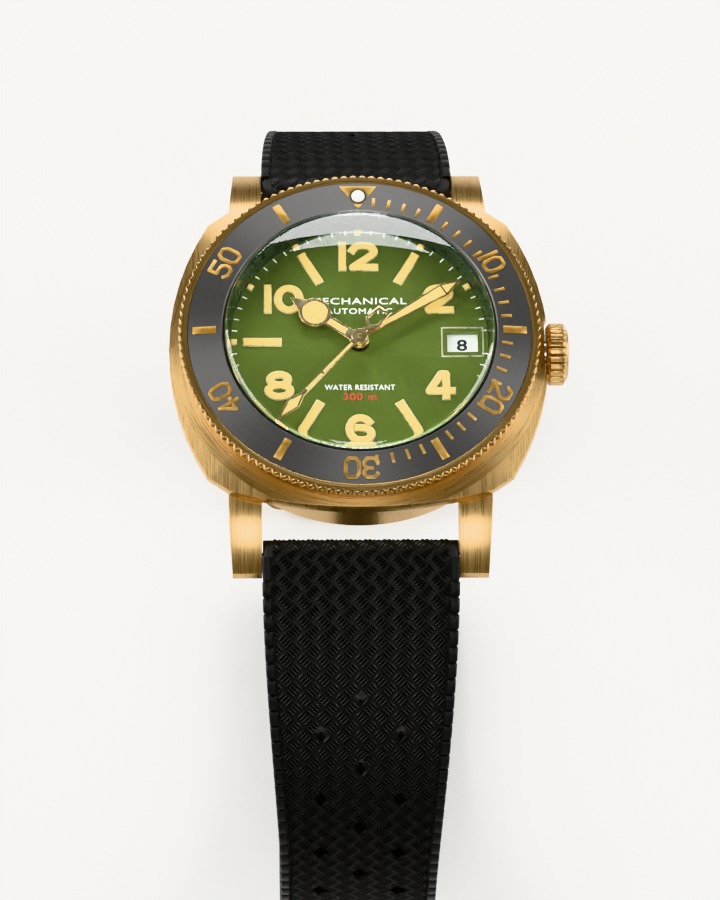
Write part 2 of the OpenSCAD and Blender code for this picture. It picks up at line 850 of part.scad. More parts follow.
module strap_holes(arcs, last) {
    count = floor((last - hole_start) / hole_pitch);
    for (i = [0:count])
        if (i % 2 == 0)
            on_strap(arcs, hole_start + i * hole_pitch)
                strap_hole();
        else
            for (s = [-1, 1])
                on_strap(arcs, hole_start + i * hole_pitch, s * hole_side)
                    strap_hole();
}

module strap_bore() {
    translate([0, bar_y, bar_z])
        rotate([0, 90, 0])
            cylinder(r = bar_tube_r + fit, h = lug_gap + 2, center = true, $fn = 32);
}

module strap_buckle_side() {
    color(rubber)
        difference() {
            strap_body(short_arcs, short_half, true);
            strap_bore();
            strap_holes(short_arcs, short_half - 24);
            on_strap(short_arcs, short_half) {
                rotate([0, 90, 0])
                    cylinder(r = buckle_bar_r + fit, h = 30, center = true, $fn = 32);
                cube([tongue_slot, 7, 6], center = true);
            }
        }
}

module strap_hole_side() {
    color(rubber)
        rotate(180)
            difference() {
                strap_body(long_arcs, long_half, false);
                strap_bore();
                strap_holes(long_arcs, long_half - 8);
            }
}

module buckle_frame() {
    inner = strap_w1 / 2 + 0.4;
    outer = inner + buckle_arm;
    color(bronze)
        on_strap(short_arcs, short_half)
            difference() {
                translate([0, 0, -buckle_t / 2])
                    linear_extrude(buckle_t)
                        difference() {
                            union() {
                                translate([-outer, -1.6])
                                    square([2 * outer, buckle_len - 1]);
                                translate([-outer + 2, -1.6])
                                    square([2 * outer - 4, buckle_len + 1.6]);
                                for (s = [-1, 1])
                                    translate([s * (outer - 2.2), buckle_len - 2.2])
                                        circle(r = 2.2);
                            }
                            translate([-inner, -3])
                                square([2 * inner, buckle_len + 3 - 2.2]);
                        }
                rotate([0, 90, 0])
                    cylinder(r = 0.5, h = 40, center = true, $fn = 32);
            }
}

module buckle_bar() {
    reach = strap_w1 / 2 + 0.4;
    color(steel)
        on_strap(short_arcs, short_half)
            rotate([0, 90, 0]) {
                cylinder(r = buckle_bar_r, h = 2 * reach, center = true, $fn = 32);
                cylinder(r = 0.49, h = 2 * (reach + buckle_arm), center = true, $fn = 32);
            }
}

module buckle_tongue() {
    color(bronze)
        on_strap(short_arcs, short_half)
            difference() {
                union() {
                    rotate([0, 90, 0])
                        cylinder(r = 1.35, h = 2, center = true);
                    rotate([90, 0, 90])
                        linear_extrude(1.8, center = true)
                            polygon([[0, 0.2], [0, 1.35], [3, 1.75], [buckle_len + 0.4, 1.75],
                                     [buckle_len + 0.7, 1.1], [buckle_len + 0.3, 0.85],
                                     [2, 0.85]]);
                }
                rotate([0, 90, 0])
                    cylinder(r = buckle_bar_r + fit, h = 10, center = true, $fn = 32);
            }
}

module keeper(d, grip) {
    w = strap_width(d) / 2 + grip;
    t = strap_thick(d) / 2 + grip;
    // Room above the strap for the free end that passes through
    room = strap_t1 + 0.6;
    color(rubber)
        on_strap(short_arcs, d)
            rotate([90, 0, 0])
                linear_extrude(keeper_w, center = true)
                    difference() {
                        translate([-w - keeper_wall, -t - keeper_wall])
                            square([2 * (w + keeper_wall), 2 * t + room + 2 * keeper_wall]);
                        translate([-w, -t])
                            square([2 * w, 2 * t + room]);
                    }
}

module fixed_keeper() {
    keeper(fixed_keeper_s, 0.08);
}

module sliding_keeper() {
    keeper(sliding_keeper_s, keeper_gap);
}

// ---------- dial ----------

module dial() {
    color("#1f5a3a")
        difference() {
            union() {
                disc(dial_r, dial_z - dial_t, dial_z, $fn = 128);
                for (a = foot_dirs)
                    translate(polar(foot_at_r, a))
                        disc(foot_r, dial_z - dial_t - foot_len, dial_z - dial_t + eps, $fn = 24);
            }
            disc(1, 0, 20);
            linear_extrude(20)
                date_window(0);
        }
}

// Centre of an hour numeral: those at the sides line up along their outer edges
function numeral_at(h) =
    let (side = h % 6 == 0 ? 0 : h < 6 ? 1 : -1,
         x = numeral_edge - number_width(h, numeral_w, numeral_stroke) / 2)
    [side * x, numeral_r * sin(90 - h * 30)];

module marker_plan(extra) {
    for (h = [1, 5, 7, 9, 11])
        rotate(-h * 30)
            translate([0, 9.72])
                square([0.84 + extra, 3.75 + extra], center = true);
    for (h = [2, 4, 6, 8, 10, 12])
        translate(numeral_at(h))
            number(h, numeral_w, numeral_h, numeral_stroke, extra, true);
    for (h = [1, 2, 4, 5, 6, 7, 8, 9, 10, 11, 12])
        rotate(-h * 30)
            translate([0, 12.55])
                square([0.55 + extra, 0.5 + extra], center = true);
}

// Outline of the date window, grown on every side
module date_window(grow) {
    translate([date_x0 - grow, -date_h / 2 - grow])
        square([date_x1 - date_x0 + 2 * grow, date_h + 2 * grow]);
}

module hour_markers() {
    color("white") {
        translate([0, 0, dial_z])
            linear_extrude(marker_t)
                marker_plan(2 * marker_border);
        translate([0, 0, dial_z])
            linear_extrude(marker_t)
                difference() {
                    date_window(date_frame + 0.1);
                    date_window(date_frame + 0.1 - date_frame_line);
                }
    }
}

module marker_lume() {
    color(lume_colour)
        translate([0, 0, dial_z + marker_t])
            linear_extrude(0.12)
                marker_plan(-0.02);
}

module date_disc() {
    inner = 8.35;
    color("white")
        translate([0, 0, date_z])
            linear_extrude(0.2)
                difference() {
                    circle(r = movement_r - 0.5, $fn = 128);
                    polygon([
                        for (i = [0:30])
                            for (p = [[-0.5, 0.35], [0.1, 0.35], [0.3, 0], [0.45, 0]])
                                polar(inner + p[1], (i + p[0]) * 360 / 31)
                    ]);
                }
}

module date_driving_wheel() {
    color(brass)
        translate([date_at[0], date_at[1], motion_z + 0.1]) {
            wheel(date_wheel_teeth, hour_module, 0.14, 0.8, 0.32, 4,
                  date_dir + 180 + 180 / date_wheel_teeth);
            rotate(20)
                translate([0.4, -0.12, 0.14 - eps])
                    cube([1.8, 0.24, 0.16]);
        }
}

module date_jumper() {
    color(steel)
        translate([0, 0, date_z])
            rotate(150)
                linear_extrude(0.15)
                    polygon([[7.2, -1.5], [8.25, -0.1], [8.28, 0], [8.2, 0.08], [7.8, 0],
                             [6.9, -1.3]]);
}

// ---------- hands ----------

module at_hand(angle, z) {
    rotate(-angle)
        translate([0, 0, z])
            children();
}

module hour_hand_plan() {
    translate([-0.56, 0])
        square([1.12, 5]);
    translate([0, 5.4])
        circle(r = 1.6);
    polygon([[-0.95, 6.5], [0.95, 6.5], [0, 8.4]]);
    circle(r = 0.95);
}

module hour_lume_plan() {
    translate([0, 5.4])
        circle(r = 1.25);
    translate([-0.31, 1.6])
        square([0.62, 2.1]);
}

module hour_hand() {
    color(brass)
        at_hand(hour_angle, hour_z)
            linear_extrude(hand_t)
                difference() {
                    hour_hand_plan();
                    hour_lume_plan();
                    circle(r = 0.7);
                }
}

module hour_hand_lume() {
    color(lume_colour)
        at_hand(hour_angle, hour_z + 0.02)
            linear_extrude(hand_t - 0.01)
                hour_lume_plan();
}

module minute_hand_plan(inset = 0) {
    polygon([[-0.3 + inset, 1.2 + 3 * inset], [0.3 - inset, 1.2 + 3 * inset],
             [0.7 - inset, 10.1 - 0.6 * inset], [0, 12.3 - 4.2 * inset],
             [-0.7 + inset, 10.1 - 0.6 * inset]]);
}

module minute_hand() {
    color(brass)
        at_hand(minute_angle, minute_z)
            linear_extrude(hand_t)
                difference() {
                    union() {
                        minute_hand_plan();
                        circle(r = 0.85);
                        translate([-0.28, 0])
                            square([0.56, 1.6]);
                    }
                    minute_lume_plan();
                    circle(r = 0.48, $fn = 32);
                }
}

module minute_lume_plan() {
    intersection() {
        minute_hand_plan(0.18);
        union() {
            translate([-2, 2.4])
                square([4, 7.55]);
            translate([-2, 10.15])
                square([4, 2]);
        }
    }
}

module minute_hand_lume() {
    color(lume_colour)
        at_hand(minute_angle, minute_z + 0.02)
            linear_extrude(hand_t - 0.01)
                minute_lume_plan();
}

module lozenge(r0, r1, half, mid) {
    polygon([[0, r0], [half, mid], [0, r1], [-half, mid]]);
}

// Windows of the seconds hand: two long slots in the rod and one in the lozenge
module seconds_lume_plan() {
    translate([-0.11, 1.2])
        square([0.22, 4.3]);
    translate([-0.11, 5.8])
        square([0.22, 2.3]);
    lozenge(8.9, 11.9, 0.46, 10.2);
}

module seconds_hand() {
    color(brass)
        at_hand(second_angle, second_z)
            linear_extrude(0.14)
                difference() {
                    union() {
                        translate([-0.25, -1.4])
                            square([0.5, 14.2 - 1.6]);
                        lozenge(8.1, 12.8, 0.72, 10.2);
                        circle(r = 0.82);
                        polygon([[-0.75, -3.9], [0.75, -3.9], [0.9, -1.9], [0, -1.1], [-0.9, -1.9]]);
                    }
                    seconds_lume_plan();
                    polygon([[-0.45, -3.6], [0.45, -3.6], [0.58, -2.1], [0, -1.6], [-0.58, -2.1]]);
                    circle(r = 0.22, $fn = 24);
                }
}

module seconds_hand_lume() {
    color(lume_colour)
        at_hand(second_angle, second_z + 0.02)
            linear_extrude(0.13)
                seconds_lume_plan();
}

// ---------- motion work ----------

module hour_wheel() {
    color(brass)
        difference() {
            union() {
                translate([0, 0, hour_wheel_z - 0.35])
                    gear(hour_wheel_teeth, hour_module, 0.16, 0.4, date_dir);
                disc(0.68, hour_wheel_z - 0.35, hour_z + hand_t);
            }
            disc(0.53, 0, 20);
        }
}

module cannon_pinion() {
    color(steel)
        difference() {
            union() {
                translate([0, 0, motion_z - 0.05])
                    gear(cannon_teeth, motion_module, 0.17, 0.2, motion_dir);
                disc(0.46, motion_z - 0.05, minute_z + hand_t);
            }
            disc(0.28, 0, 20, $fn = 32);
        }
}

module minute_wheel() {
    color(brass)
        translate([motion_at[0], motion_at[1], motion_z - 0.05]) {
            wheel(minute_wheel_teeth, motion_module, 0.14, 0.6, 0.2, 4,
                  motion_dir + 180 + 180 / minute_wheel_teeth);
            translate([0, 0, 0.14 - eps])
                gear(minute_pinion_teeth, hour_module, 0.35, 0.2,
                     pinion_phase());
        }
}

// Phase that puts a tooth of the minute pinion in a gap of the hour wheel
function pinion_phase() =
    motion_dir + 180 + (((motion_dir - date_dir) / (360 / hour_wheel_teeth)) % 1 - 0.5)
    * (360 / minute_pinion_teeth);

// ---------- movement ----------

module movement_ring() {
    color("#d8d8d8")
        difference() {
            ring(movement_r + ring_gap, cavity_r - fit, thread_z1 + fit, dial_z - dial_t - 0.01);
            along_x(10)
                cylinder(r = stem_r + 0.15, h = 10);
            for (a = foot_dirs)
                translate(polar(foot_at_r, a))
                    disc(foot_r + fit, dial_z - dial_t - foot_len - 0.1, 20, $fn = 24);
        }
}

// Plate with a rim that carries the dial, pillars for the bridges, and posts and bearing holes
module mainplate() {
    color(brass)
        difference() {
            union() {
                rotate_extrude($fn = 128)
                    polygon([[0, plate_z], [movement_r, plate_z],
                             [movement_r, dial_z - dial_t - 0.02],
                             [movement_r - 0.45, dial_z - dial_t - 0.02],
                             [movement_r - 0.45, plate_z + plate_t], [0, plate_z + plate_t]]);
                arbor(date_at, 0.28, plate_z + eps, motion_z + 0.24);
                arbor(motion_at, 0.17, plate_z + eps, motion_z + 0.4);
                arbor(cock_foot, 0.9, bridge_z + 0.42, plate_z + eps);
                arbor(bridge_foot, 0.9, bridge_z + bridge_t, plate_z + eps);
            }
            disc(0.75, 0, 20);
            along_x(stem_x0 - 0.4)
                cylinder(r = 1.15, h = 5.2);
            along_x(stem_x0 - 1)
                cylinder(r = stem_r + 0.05, h = 20, $fn = 32);
            arbor(third_at, 0.14, 0, 20);
            arbor(escape_at, 0.14, 0, 20);
            arbor(fork_at, 0.13, 0, 20);
            arbor(balance_at, 0.16, 0, 20);
        }
}

module train_bridge() {
    color("#c9ccd0")
        difference() {
            intersection() {
                disc(movement_r - 0.3, bridge_z, bridge_z + bridge_t);
                linear_extrude(10)
                    polygon([[-13, 13], [13, 13], [13, -1.5], [3.2, -1.8], [1.6, -4.6], [-0.5, -13],
                             [-13, -13]]);
            }
            disc(0.3, 0, 10, $fn = 24);
            for (p = [third_at, barrel_at])
                translate([p[0], p[1], 0])
                    disc(0.3, 0, 10, $fn = 24);
            translate([escape_at[0], escape_at[1], 0])
                disc(0.2, 0, 10, $fn = 24);
        }
}

module balance_cock() {
    color("#c9ccd0")
        translate([0, 0, bridge_z])
            difference() {
                linear_extrude(0.4)
                    union() {
                        translate(balance_at)
                            circle(r = 1.4);
                        round_bar(balance_at, cock_foot, 1.25);
                    }
                translate([balance_at[0], balance_at[1], -1])
                    cylinder(r = 0.2, h = 3, $fn = 24);
            }
}

// A straight bar between two points, round at its far end
module round_bar(p, q, half) {
    d = q - p;
    translate(p)
        rotate(atan2(d[1], d[0]))
            translate([0, -half])
                square([norm(d), 2 * half]);
    translate(q)
        circle(r = half);
}

module arbor(at, r, z0, z1) {
    translate([at[0], at[1], 0])
        disc(r, z0, z1, $fn = 24);
}

module mainspring_barrel() {
    color(brass)
        translate([barrel_at[0], barrel_at[1], 0]) {
            translate([0, 0, barrel_z + 0.5])
                gear(barrel_teeth, barrel_module, 0.25, 0.2, barrel_dir + 180);
            disc(barrel_teeth * barrel_module / 2 - 0.25, barrel_z, barrel_z + barrel_h);
            disc(0.26, ratchet_z, barrel_z + eps, $fn = 24);
        }
}

module center_wheel() {
    color(brass)
        difference() {
            union() {
                translate([0, 0, center_wheel_z])
                    wheel(center_teeth, stage1_module, train_t, 0.8, 0.2, 4, third_dir);
                translate([0, 0, barrel_z + 0.45])
                    gear(center_pinion_teeth, barrel_module, 0.4, 0.2,
                         barrel_dir + 180 / center_pinion_teeth);
                disc(0.46, barrel_z + 0.4, motion_z - 0.06, $fn = 32);
            }
            disc(0.28, 0, 20, $fn = 32);
        }
}

// Phases are counted so that each pair meets tooth to gap on its line of centres
function mesh_phase(dir, teeth) = dir + 180 + 180 / teeth;

module third_wheel() {
    color(brass) {
        translate([third_at[0], third_at[1], third_wheel_z - 0.3])
            wheel(third_teeth, stage2_module, train_t, 0.6, 0.1, 4, third_dir + 180);
        translate([third_at[0], third_at[1], center_wheel_z - 0.1])
            gear(third_pinion_teeth, stage1_module, 0.25, 0.1,
                 mesh_phase(third_dir, third_pinion_teeth));
        arbor(third_at, 0.12, bridge_z, plate_z + 0.4);
        arbor(third_at, 0.25, third_wheel_z - 0.3, center_wheel_z + 0.1);
    }
}

module fourth_wheel() {
    color(brass) {
        translate([0, 0, third_wheel_z - 0.36])
            gear(fourth_pinion_teeth, stage2_module, 0.26, 0.1,
                 third_dir + 180 / fourth_pinion_teeth);
        translate([0, 0, fourth_wheel_z - 0.15])
            wheel(fourth_teeth, fourth_module, 0.1, 0.6, 0.1, 4, escape_dir);
        disc(0.21, bridge_z, second_z + 0.15, $fn = 24);
    }
}

module escape_wheel() {
    color(steel) {
        translate([escape_at[0], escape_at[1], fourth_wheel_z - 0.18])
            gear(escape_pinion_teeth, fourth_module, 0.24, 0.1,
                 mesh_phase(escape_dir, escape_pinion_teeth));
        translate([escape_at[0], escape_at[1], escape_z])
            linear_extrude(0.12)
                difference() {
                    polygon([
                        for (i = [0:19])
                            for (p = [[1.15, 0], [1.5, 0.55], [1.2, 0.6]])
                                polar(p[0], (i + p[1]) * 18)
                    ]);
                    difference() {
                        circle(r = 0.95);
                        circle(r = 0.4);
                        for (i = [0:3])
                            rotate(i * 90)
                                translate([0, -0.1])
                                    square([1, 0.2]);
                    }
                }
        arbor(escape_at, 0.12, bridge_z, escape_z + 0.25);
    }
}

fork_dir = atan2(balance_at[1] - escape_at[1], balance_at[0] - escape_at[0]);
fork_at = escape_at + polar(2.05, fork_dir);

module pallet_fork() {
    color(steel)
        translate([fork_at[0], fork_at[1], escape_z])
            rotate(fork_dir) {
                linear_extrude(0.12) {
                    translate([0, -0.12])
                        square([1.2, 0.24]);
                    translate([1.1, -0.32])
                        square([0.25, 0.64]);
                    for (s = [-1, 1])
                        polygon([[0.1, 0], [-0.35, s * 1.15], [-0.6, s * 1.2], [-0.2, 0]]);
                    circle(r = 0.3, $fn = 24);
                }
                translate([0, 0, -0.45])
                    cylinder(r = 0.11, h = 0.95, $fn = 24);
            }
}

module balance_wheel() {
    color(brass)
        translate([balance_at[0], balance_at[1], 0]) {
            translate([0, 0, balance_z])
                linear_extrude(0.22)
                    difference() {
                        circle(r = balance_r);
                        difference() {
                            circle(r = balance_r - 0.35);
                            circle(r = 0.4, $fn = 24);
                            for (i = [0:2])
                                rotate(i * 120 + 15)
                                    translate([0, -0.12])
                                        square([balance_r, 0.24]);
                        }
                    }
            disc(0.13, bridge_z + 0.05, plate_z + 0.4, $fn = 24);
            disc(0.35, balance_z, balance_z + 0.45, $fn = 24);
        }
}

// Flat spiral, wound as one strip
module hairspring() {
    turns = 7;
    r0 = 0.45;
    r1 = 1.75;
    strip = 0.05;
    steps = turns * 18;
    inner = [for (i = [0:steps]) polar(r0 + (r1 - r0) * i / steps, i * 20)];
    outer = [for (i = [steps:-1:0]) polar(r0 + strip + (r1 - r0) * i / steps, i * 20)];
    color("#30507a")
        translate([balance_at[0], balance_at[1], balance_z - 0.22])
            linear_extrude(0.12)
                polygon(concat(inner, outer));
}

// ---------- automatic work ----------

module automatic_bridge() {
    color("#c9ccd0")
        translate([0, 0, auto_z])
            difference() {
                linear_extrude(auto_t)
                    union() {
                        circle(r = 2.6);
                        for (a = [120, 240])
                            round_bar([0, 0], polar(movement_r - 2, a), 1.6);
                    }
                translate([0, 0, -1])
                    cylinder(r = 0.9, h = 3);
            }
}

module rotor_bearing() {
    color(steel)
        difference() {
            union() {
                disc(1.3, rotor_z - 0.05, auto_z);
                disc(0.89, auto_z - eps, auto_z + auto_t);
            }
            disc(0.4, 0, 20, $fn = 24);
        }
}

module rotor() {
    outer = movement_r + 0.5;
    color(steel)
        translate([0, 0, rotor_z])
            difference() {
                union() {
                    linear_extrude(0.3)
                        intersection() {
                            circle(r = outer - 2);
                            polygon(concat([[-2.4, 0]], [for (i = [0:12]) polar(20, 190 + i * 13.3)],
                                           [[2.4, 0]]));
                        }
                    linear_extrude(rotor_t)
                        difference() {
                            intersection() {
                                circle(r = outer);
                                polygon(concat([[0, 0]],
                                               [for (i = [0:12]) polar(20, 190 + i * 13.3)]));
                            }
                            circle(r = outer - 2.2);
                        }
                    cylinder(r = 2.4, h = 0.3);
                }
                translate([0, 0, -1])
                    cylinder(r = 1.35, h = 4);
            }
}

screw_spots = [polar(11, 120), polar(11, 240), polar(9, 20), polar(10.6, 165), polar(11.2, -60)];

module bridge_screws() {
    color("#3b4f78")
        for (p = screw_spots)
            translate([p[0], p[1], bridge_z - 0.2])
                difference() {
                    cylinder(r = 0.55, h = 0.19, $fn = 24);
                    translate([-1, -0.07, -0.01])
                        cube([2, 0.14, 0.08]);
                }
}

module jewels() {
    color(ruby)
        for (p = [third_at, [0, 0]])
            translate([p[0], p[1], 0])
                ring(0.22, 0.29, bridge_z, bridge_z + 0.3);
}

case_middle();
case_back();
case_back_gasket();
crystal();
crystal_gasket();
rehaut_ring();
bezel_ring();
bezel_insert();
bezel_inlays();
pearl_setting();
bezel_pearl();
bezel_snap_ring();
bezel_click_spring();
crown();
crown_tube();
crown_gaskets();
winding_stem();
crown_wheel();
ratchet_wheel();
spring_bar_12();
spring_bar_6();
strap_buckle_side();
strap_hole_side();
buckle_frame();
buckle_tongue();
buckle_bar();
fixed_keeper();
sliding_keeper();
dial();
hour_markers();
marker_lume();
date_disc();
date_driving_wheel();
date_jumper();
hour_hand();
hour_hand_lume();
minute_hand();
minute_hand_lume();
seconds_hand();
seconds_hand_lume();
hour_wheel();
cannon_pinion();
minute_wheel();
movement_ring();
mainplate();
train_bridge();
balance_cock();
mainspring_barrel();
center_wheel();
third_wheel();
fourth_wheel();
escape_wheel();
pallet_fork();
balance_wheel();
hairspring();
rotor();
rotor_bearing();
automatic_bridge();
bridge_screws();
jewels();
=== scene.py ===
"""Dive watch: materials, strap weave, dial printing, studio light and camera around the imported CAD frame."""
import math

import bmesh
import bpy
from mathutils import Matrix, Vector
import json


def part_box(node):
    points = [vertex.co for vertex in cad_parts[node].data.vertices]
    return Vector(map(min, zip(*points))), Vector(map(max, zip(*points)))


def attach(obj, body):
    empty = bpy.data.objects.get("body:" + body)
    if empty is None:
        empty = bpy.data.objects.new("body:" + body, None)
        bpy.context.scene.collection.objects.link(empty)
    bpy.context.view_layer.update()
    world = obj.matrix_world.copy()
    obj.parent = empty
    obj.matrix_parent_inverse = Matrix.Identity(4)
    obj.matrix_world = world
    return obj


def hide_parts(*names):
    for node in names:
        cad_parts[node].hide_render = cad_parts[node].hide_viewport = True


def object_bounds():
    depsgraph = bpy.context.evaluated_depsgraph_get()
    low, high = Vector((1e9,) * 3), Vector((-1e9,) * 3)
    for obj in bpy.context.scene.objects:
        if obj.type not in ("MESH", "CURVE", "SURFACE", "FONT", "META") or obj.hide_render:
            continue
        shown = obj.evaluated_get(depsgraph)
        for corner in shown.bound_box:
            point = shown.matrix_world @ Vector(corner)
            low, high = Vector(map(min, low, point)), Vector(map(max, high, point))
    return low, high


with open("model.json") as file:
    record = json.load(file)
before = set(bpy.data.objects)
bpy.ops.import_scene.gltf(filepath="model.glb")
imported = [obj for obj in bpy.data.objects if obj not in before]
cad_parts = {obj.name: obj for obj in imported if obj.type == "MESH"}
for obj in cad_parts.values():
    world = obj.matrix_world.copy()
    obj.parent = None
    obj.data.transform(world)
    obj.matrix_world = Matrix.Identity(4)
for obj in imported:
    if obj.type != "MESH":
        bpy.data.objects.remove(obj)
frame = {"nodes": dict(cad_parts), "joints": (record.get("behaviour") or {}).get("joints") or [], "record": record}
cad_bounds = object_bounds()

# ---------- sizes, in millimetres as on the part; MM turns them into metres ----------

MM = 0.001
NODES = frame["nodes"]
RECORD = frame["record"]
BODY_OF = {n: body for body, members in RECORD["behaviour"]["bodies"].items() for n in members}
SLOT_OF = {part["node"]: part["material_slot"] for part in RECORD["subparts"]}
JOINTS = {joint["name"]: joint for joint in frame["joints"]}

BAR_Y = JOINTS["strap_12_swing"]["pos_m"][1] / MM
BAR_Z = JOINTS["strap_12_swing"]["pos_m"][2] / MM
# Heading at the bar, then stretches of (radius, heading at the end)
SHORT_ARCS = (28.0, (36.0, 62.0), (30.0, 95.0), (50.0, 180.0))
LONG_ARCS = (18.0, (34.0, 58.0), (30.0, 100.0), (36.0, 180.0))
SHORT_HALF = 70.0
LONG_HALF = 115.0
STRAP_W0 = 19.8
STRAP_W1 = 16.0
STRAP_T0 = 3.2
STRAP_T1 = 2.2
TAPER = 39.0
HOLE_START = 14.0
HOLE_PITCH = 3.7
HOLE_HALF = 0.95
HOLE_SIDE = 4.05

DIAL_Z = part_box("dial")[1].z / MM
BEZEL_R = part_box("bezel_ring")[1].x / MM
BEZEL_Z0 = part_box("bezel_ring")[0].z / MM
BEZEL_Z1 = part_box("bezel_ring")[1].z / MM
CRYSTAL_SAG = 1.9
CRYSTAL_THICK = 2.6
CRYSTAL_LIP = 0.5
CRYSTAL_BEVEL = 0.12
INSERT_R1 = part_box("bezel_insert")[1].x / MM
CROWN_LOW, CROWN_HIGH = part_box("crown")


# ---------- mesh helpers ----------

def add_mesh(name, verts, faces, body, material, smooth=35.0):
    """A new piece from points in millimetres, riding on a CAD body."""
    mesh = bpy.data.meshes.new(name)
    mesh.from_pydata([(x * MM, y * MM, z * MM) for x, y, z in verts], [], faces)
    mesh.validate()
    return add_object(name, mesh, body, material, smooth)


def add_object(name, mesh, body, material, smooth=35.0):
    obj = bpy.data.objects.new(name, mesh)
    bpy.context.scene.collection.objects.link(obj)
    mesh.materials.clear()
    mesh.materials.append(material)
    if smooth:
        shade(obj, smooth)
    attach(obj, body)
    return obj


def shade(obj, degrees):
    """Smooth shading, with sharp edges kept past the given angle."""
    mesh = obj.data
    mesh.polygons.foreach_set("use_smooth", [True] * len(mesh.polygons))
    mesh.set_sharp_from_angle(angle=math.radians(degrees))


def apply_modifiers(obj):
    bpy.context.view_layer.update()
    graph = bpy.context.evaluated_depsgraph_get()
    done = bpy.data.meshes.new_from_object(obj.evaluated_get(graph))
    obj.modifiers.clear()
    obj.data = done


def face_outward(obj):
    """Turn every face of a closed mesh outward."""
    work = bmesh.new()
    work.from_mesh(obj.data)
    bmesh.ops.recalc_face_normals(work, faces=work.faces)
    work.to_mesh(obj.data)
    work.free()


def soften(node, width, segments=2, material=None, angle=28.0, smooth=40.0):
    """A copy of a CAD node with its edges rounded, which stands for that node."""
    mesh = NODES[node].data.copy()
    work = bmesh.new()
    work.from_mesh(mesh)
    bmesh.ops.remove_doubles(work, verts=work.verts, dist=0.0015 * MM)
    bmesh.ops.dissolve_limit(work, angle_limit=math.radians(0.6), verts=work.verts, edges=work.edges)
    work.to_mesh(mesh)
    work.free()
    name = node + "_shown"
    obj = bpy.data.objects.new(name, mesh)
    bpy.context.scene.collection.objects.link(obj)
    bevel = obj.modifiers.new("edges", "BEVEL")
    bevel.width = width * MM
    bevel.segments = segments
    bevel.limit_method = "ANGLE"
    bevel.angle_limit = math.radians(angle)
    bevel.use_clamp_overlap = True
    bevel.harden_normals = False
    apply_modifiers(obj)
    mesh = obj.data
    mesh.materials.clear()
    mesh.materials.append(material or MATERIALS[SLOT_OF[node]])
    shade(obj, smooth)
    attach(obj, BODY_OF[node])
    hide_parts(node)
    return obj


def revolved(profile, steps, shape=None):
    """Points and faces of a closed profile of (radius, height) turned about Z; shape(radius, turn) gives
    each point's radius."""
    verts = []
    faces = []
    count = len(profile)
    for i in range(steps):
        turn = i / steps
        c = math.cos(2 * math.pi * turn)
        s = math.sin(2 * math.pi * turn)
        for radius, height in profile:
            r = shape(radius, turn) if shape else radius
            verts.append((r * c, r * s, height))
        for k in range(count):
            a = i * count + k
            b = i * count + (k + 1) % count
            c2 = ((i + 1) % steps) * count + (k + 1) % count
            d = ((i + 1) % steps) * count + k
            faces.append((a, d, c2, b))
    return verts, faces


# ---------- materials ----------

class Shader:
    """A node material under construction, with short ways to add nodes and links."""

    def __init__(self, name, color, rough, metal=0.0, **sockets):
        self.mat = bpy.data.materials.new(name)
        self.mat.use_nodes = True
        self.nodes = self.mat.node_tree.nodes
        self.links = self.mat.node_tree.links
        self.bsdf = self.nodes["Principled BSDF"]
        self.set("Base Color", (*color, 1.0))
        self.set("Roughness", rough)
        self.set("Metallic", metal)
        for socket, value in sockets.items():
            self.set(socket.replace("_", " "), value)
        coords = self.nodes.new("ShaderNodeTexCoord")
        self.where = coords.outputs["Object"]

    def set(self, socket, value):
        self.bsdf.inputs[socket].default_value = value

    def add(self, kind, **settings):
        node = self.nodes.new(kind)
        for key, value in settings.items():
            setattr(node, key, value)
        return node

    def link(self, source, target):
        self.links.new(source, target)

    def stretch(self, scale, turn=(0, 0, 0)):
        node = self.add("ShaderNodeMapping")
        node.inputs["Scale"].default_value = scale
        node.inputs["Rotation"].default_value = turn
        self.link(self.where, node.inputs["Vector"])
        return node.outputs[0]

    def noise(self, vector, scale, detail=4.0, rough=0.6):
        node = self.add("ShaderNodeTexNoise")
        node.inputs["Scale"].default_value = scale
        node.inputs["Detail"].default_value = detail
        node.inputs["Roughness"].default_value = rough
        self.link(vector, node.inputs["Vector"])
        return node.outputs[0]

    def ramp(self, value, stops):
        node = self.add("ShaderNodeValToRGB")
        elements = node.color_ramp.elements
        while len(elements) < len(stops):
            elements.new(0.5)
        for element, (place, color) in zip(elements, stops):
            element.position = place
            element.color = (*color, 1.0)
        self.link(value, node.inputs["Fac"])
        return node.outputs["Color"]

    def span(self, value, low, high, src=(0.0, 1.0)):
        node = self.add("ShaderNodeMapRange")
        node.inputs["From Min"].default_value = src[0]
        node.inputs["From Max"].default_value = src[1]
        node.inputs["To Min"].default_value = low
        node.inputs["To Max"].default_value = high
        self.link(value, node.inputs["Value"])
        return node.outputs["Result"]

    def math(self, operation, a, b=None):
        node = self.add("ShaderNodeMath", operation=operation)
        for slot, value in enumerate((a, b)):
            if value is None:
                continue
            if isinstance(value, (int, float)):
                node.inputs[slot].default_value = value
            else:
                self.link(value, node.inputs[slot])
        return node.outputs[0]

    def polar(self):
        """Angle about Z in radians, and radius, at a point."""
        split = self.add("ShaderNodeSeparateXYZ")
        self.link(self.where, split.inputs[0])
        x, y = split.outputs["X"], split.outputs["Y"]
        turn = self.math("ARCTAN2", y, x)
        radius = self.math("SQRT", self.math("ADD", self.math("MULTIPLY", x, x),
                                             self.math("MULTIPLY", y, y)))
        return turn, radius

    def bump(self, height, distance, strength=1.0):
        node = self.add("ShaderNodeBump")
        node.inputs["Distance"].default_value = distance
        node.inputs["Strength"].default_value = strength
        self.link(height, node.inputs["Height"])
        self.link(node.outputs[0], self.bsdf.inputs["Normal"])


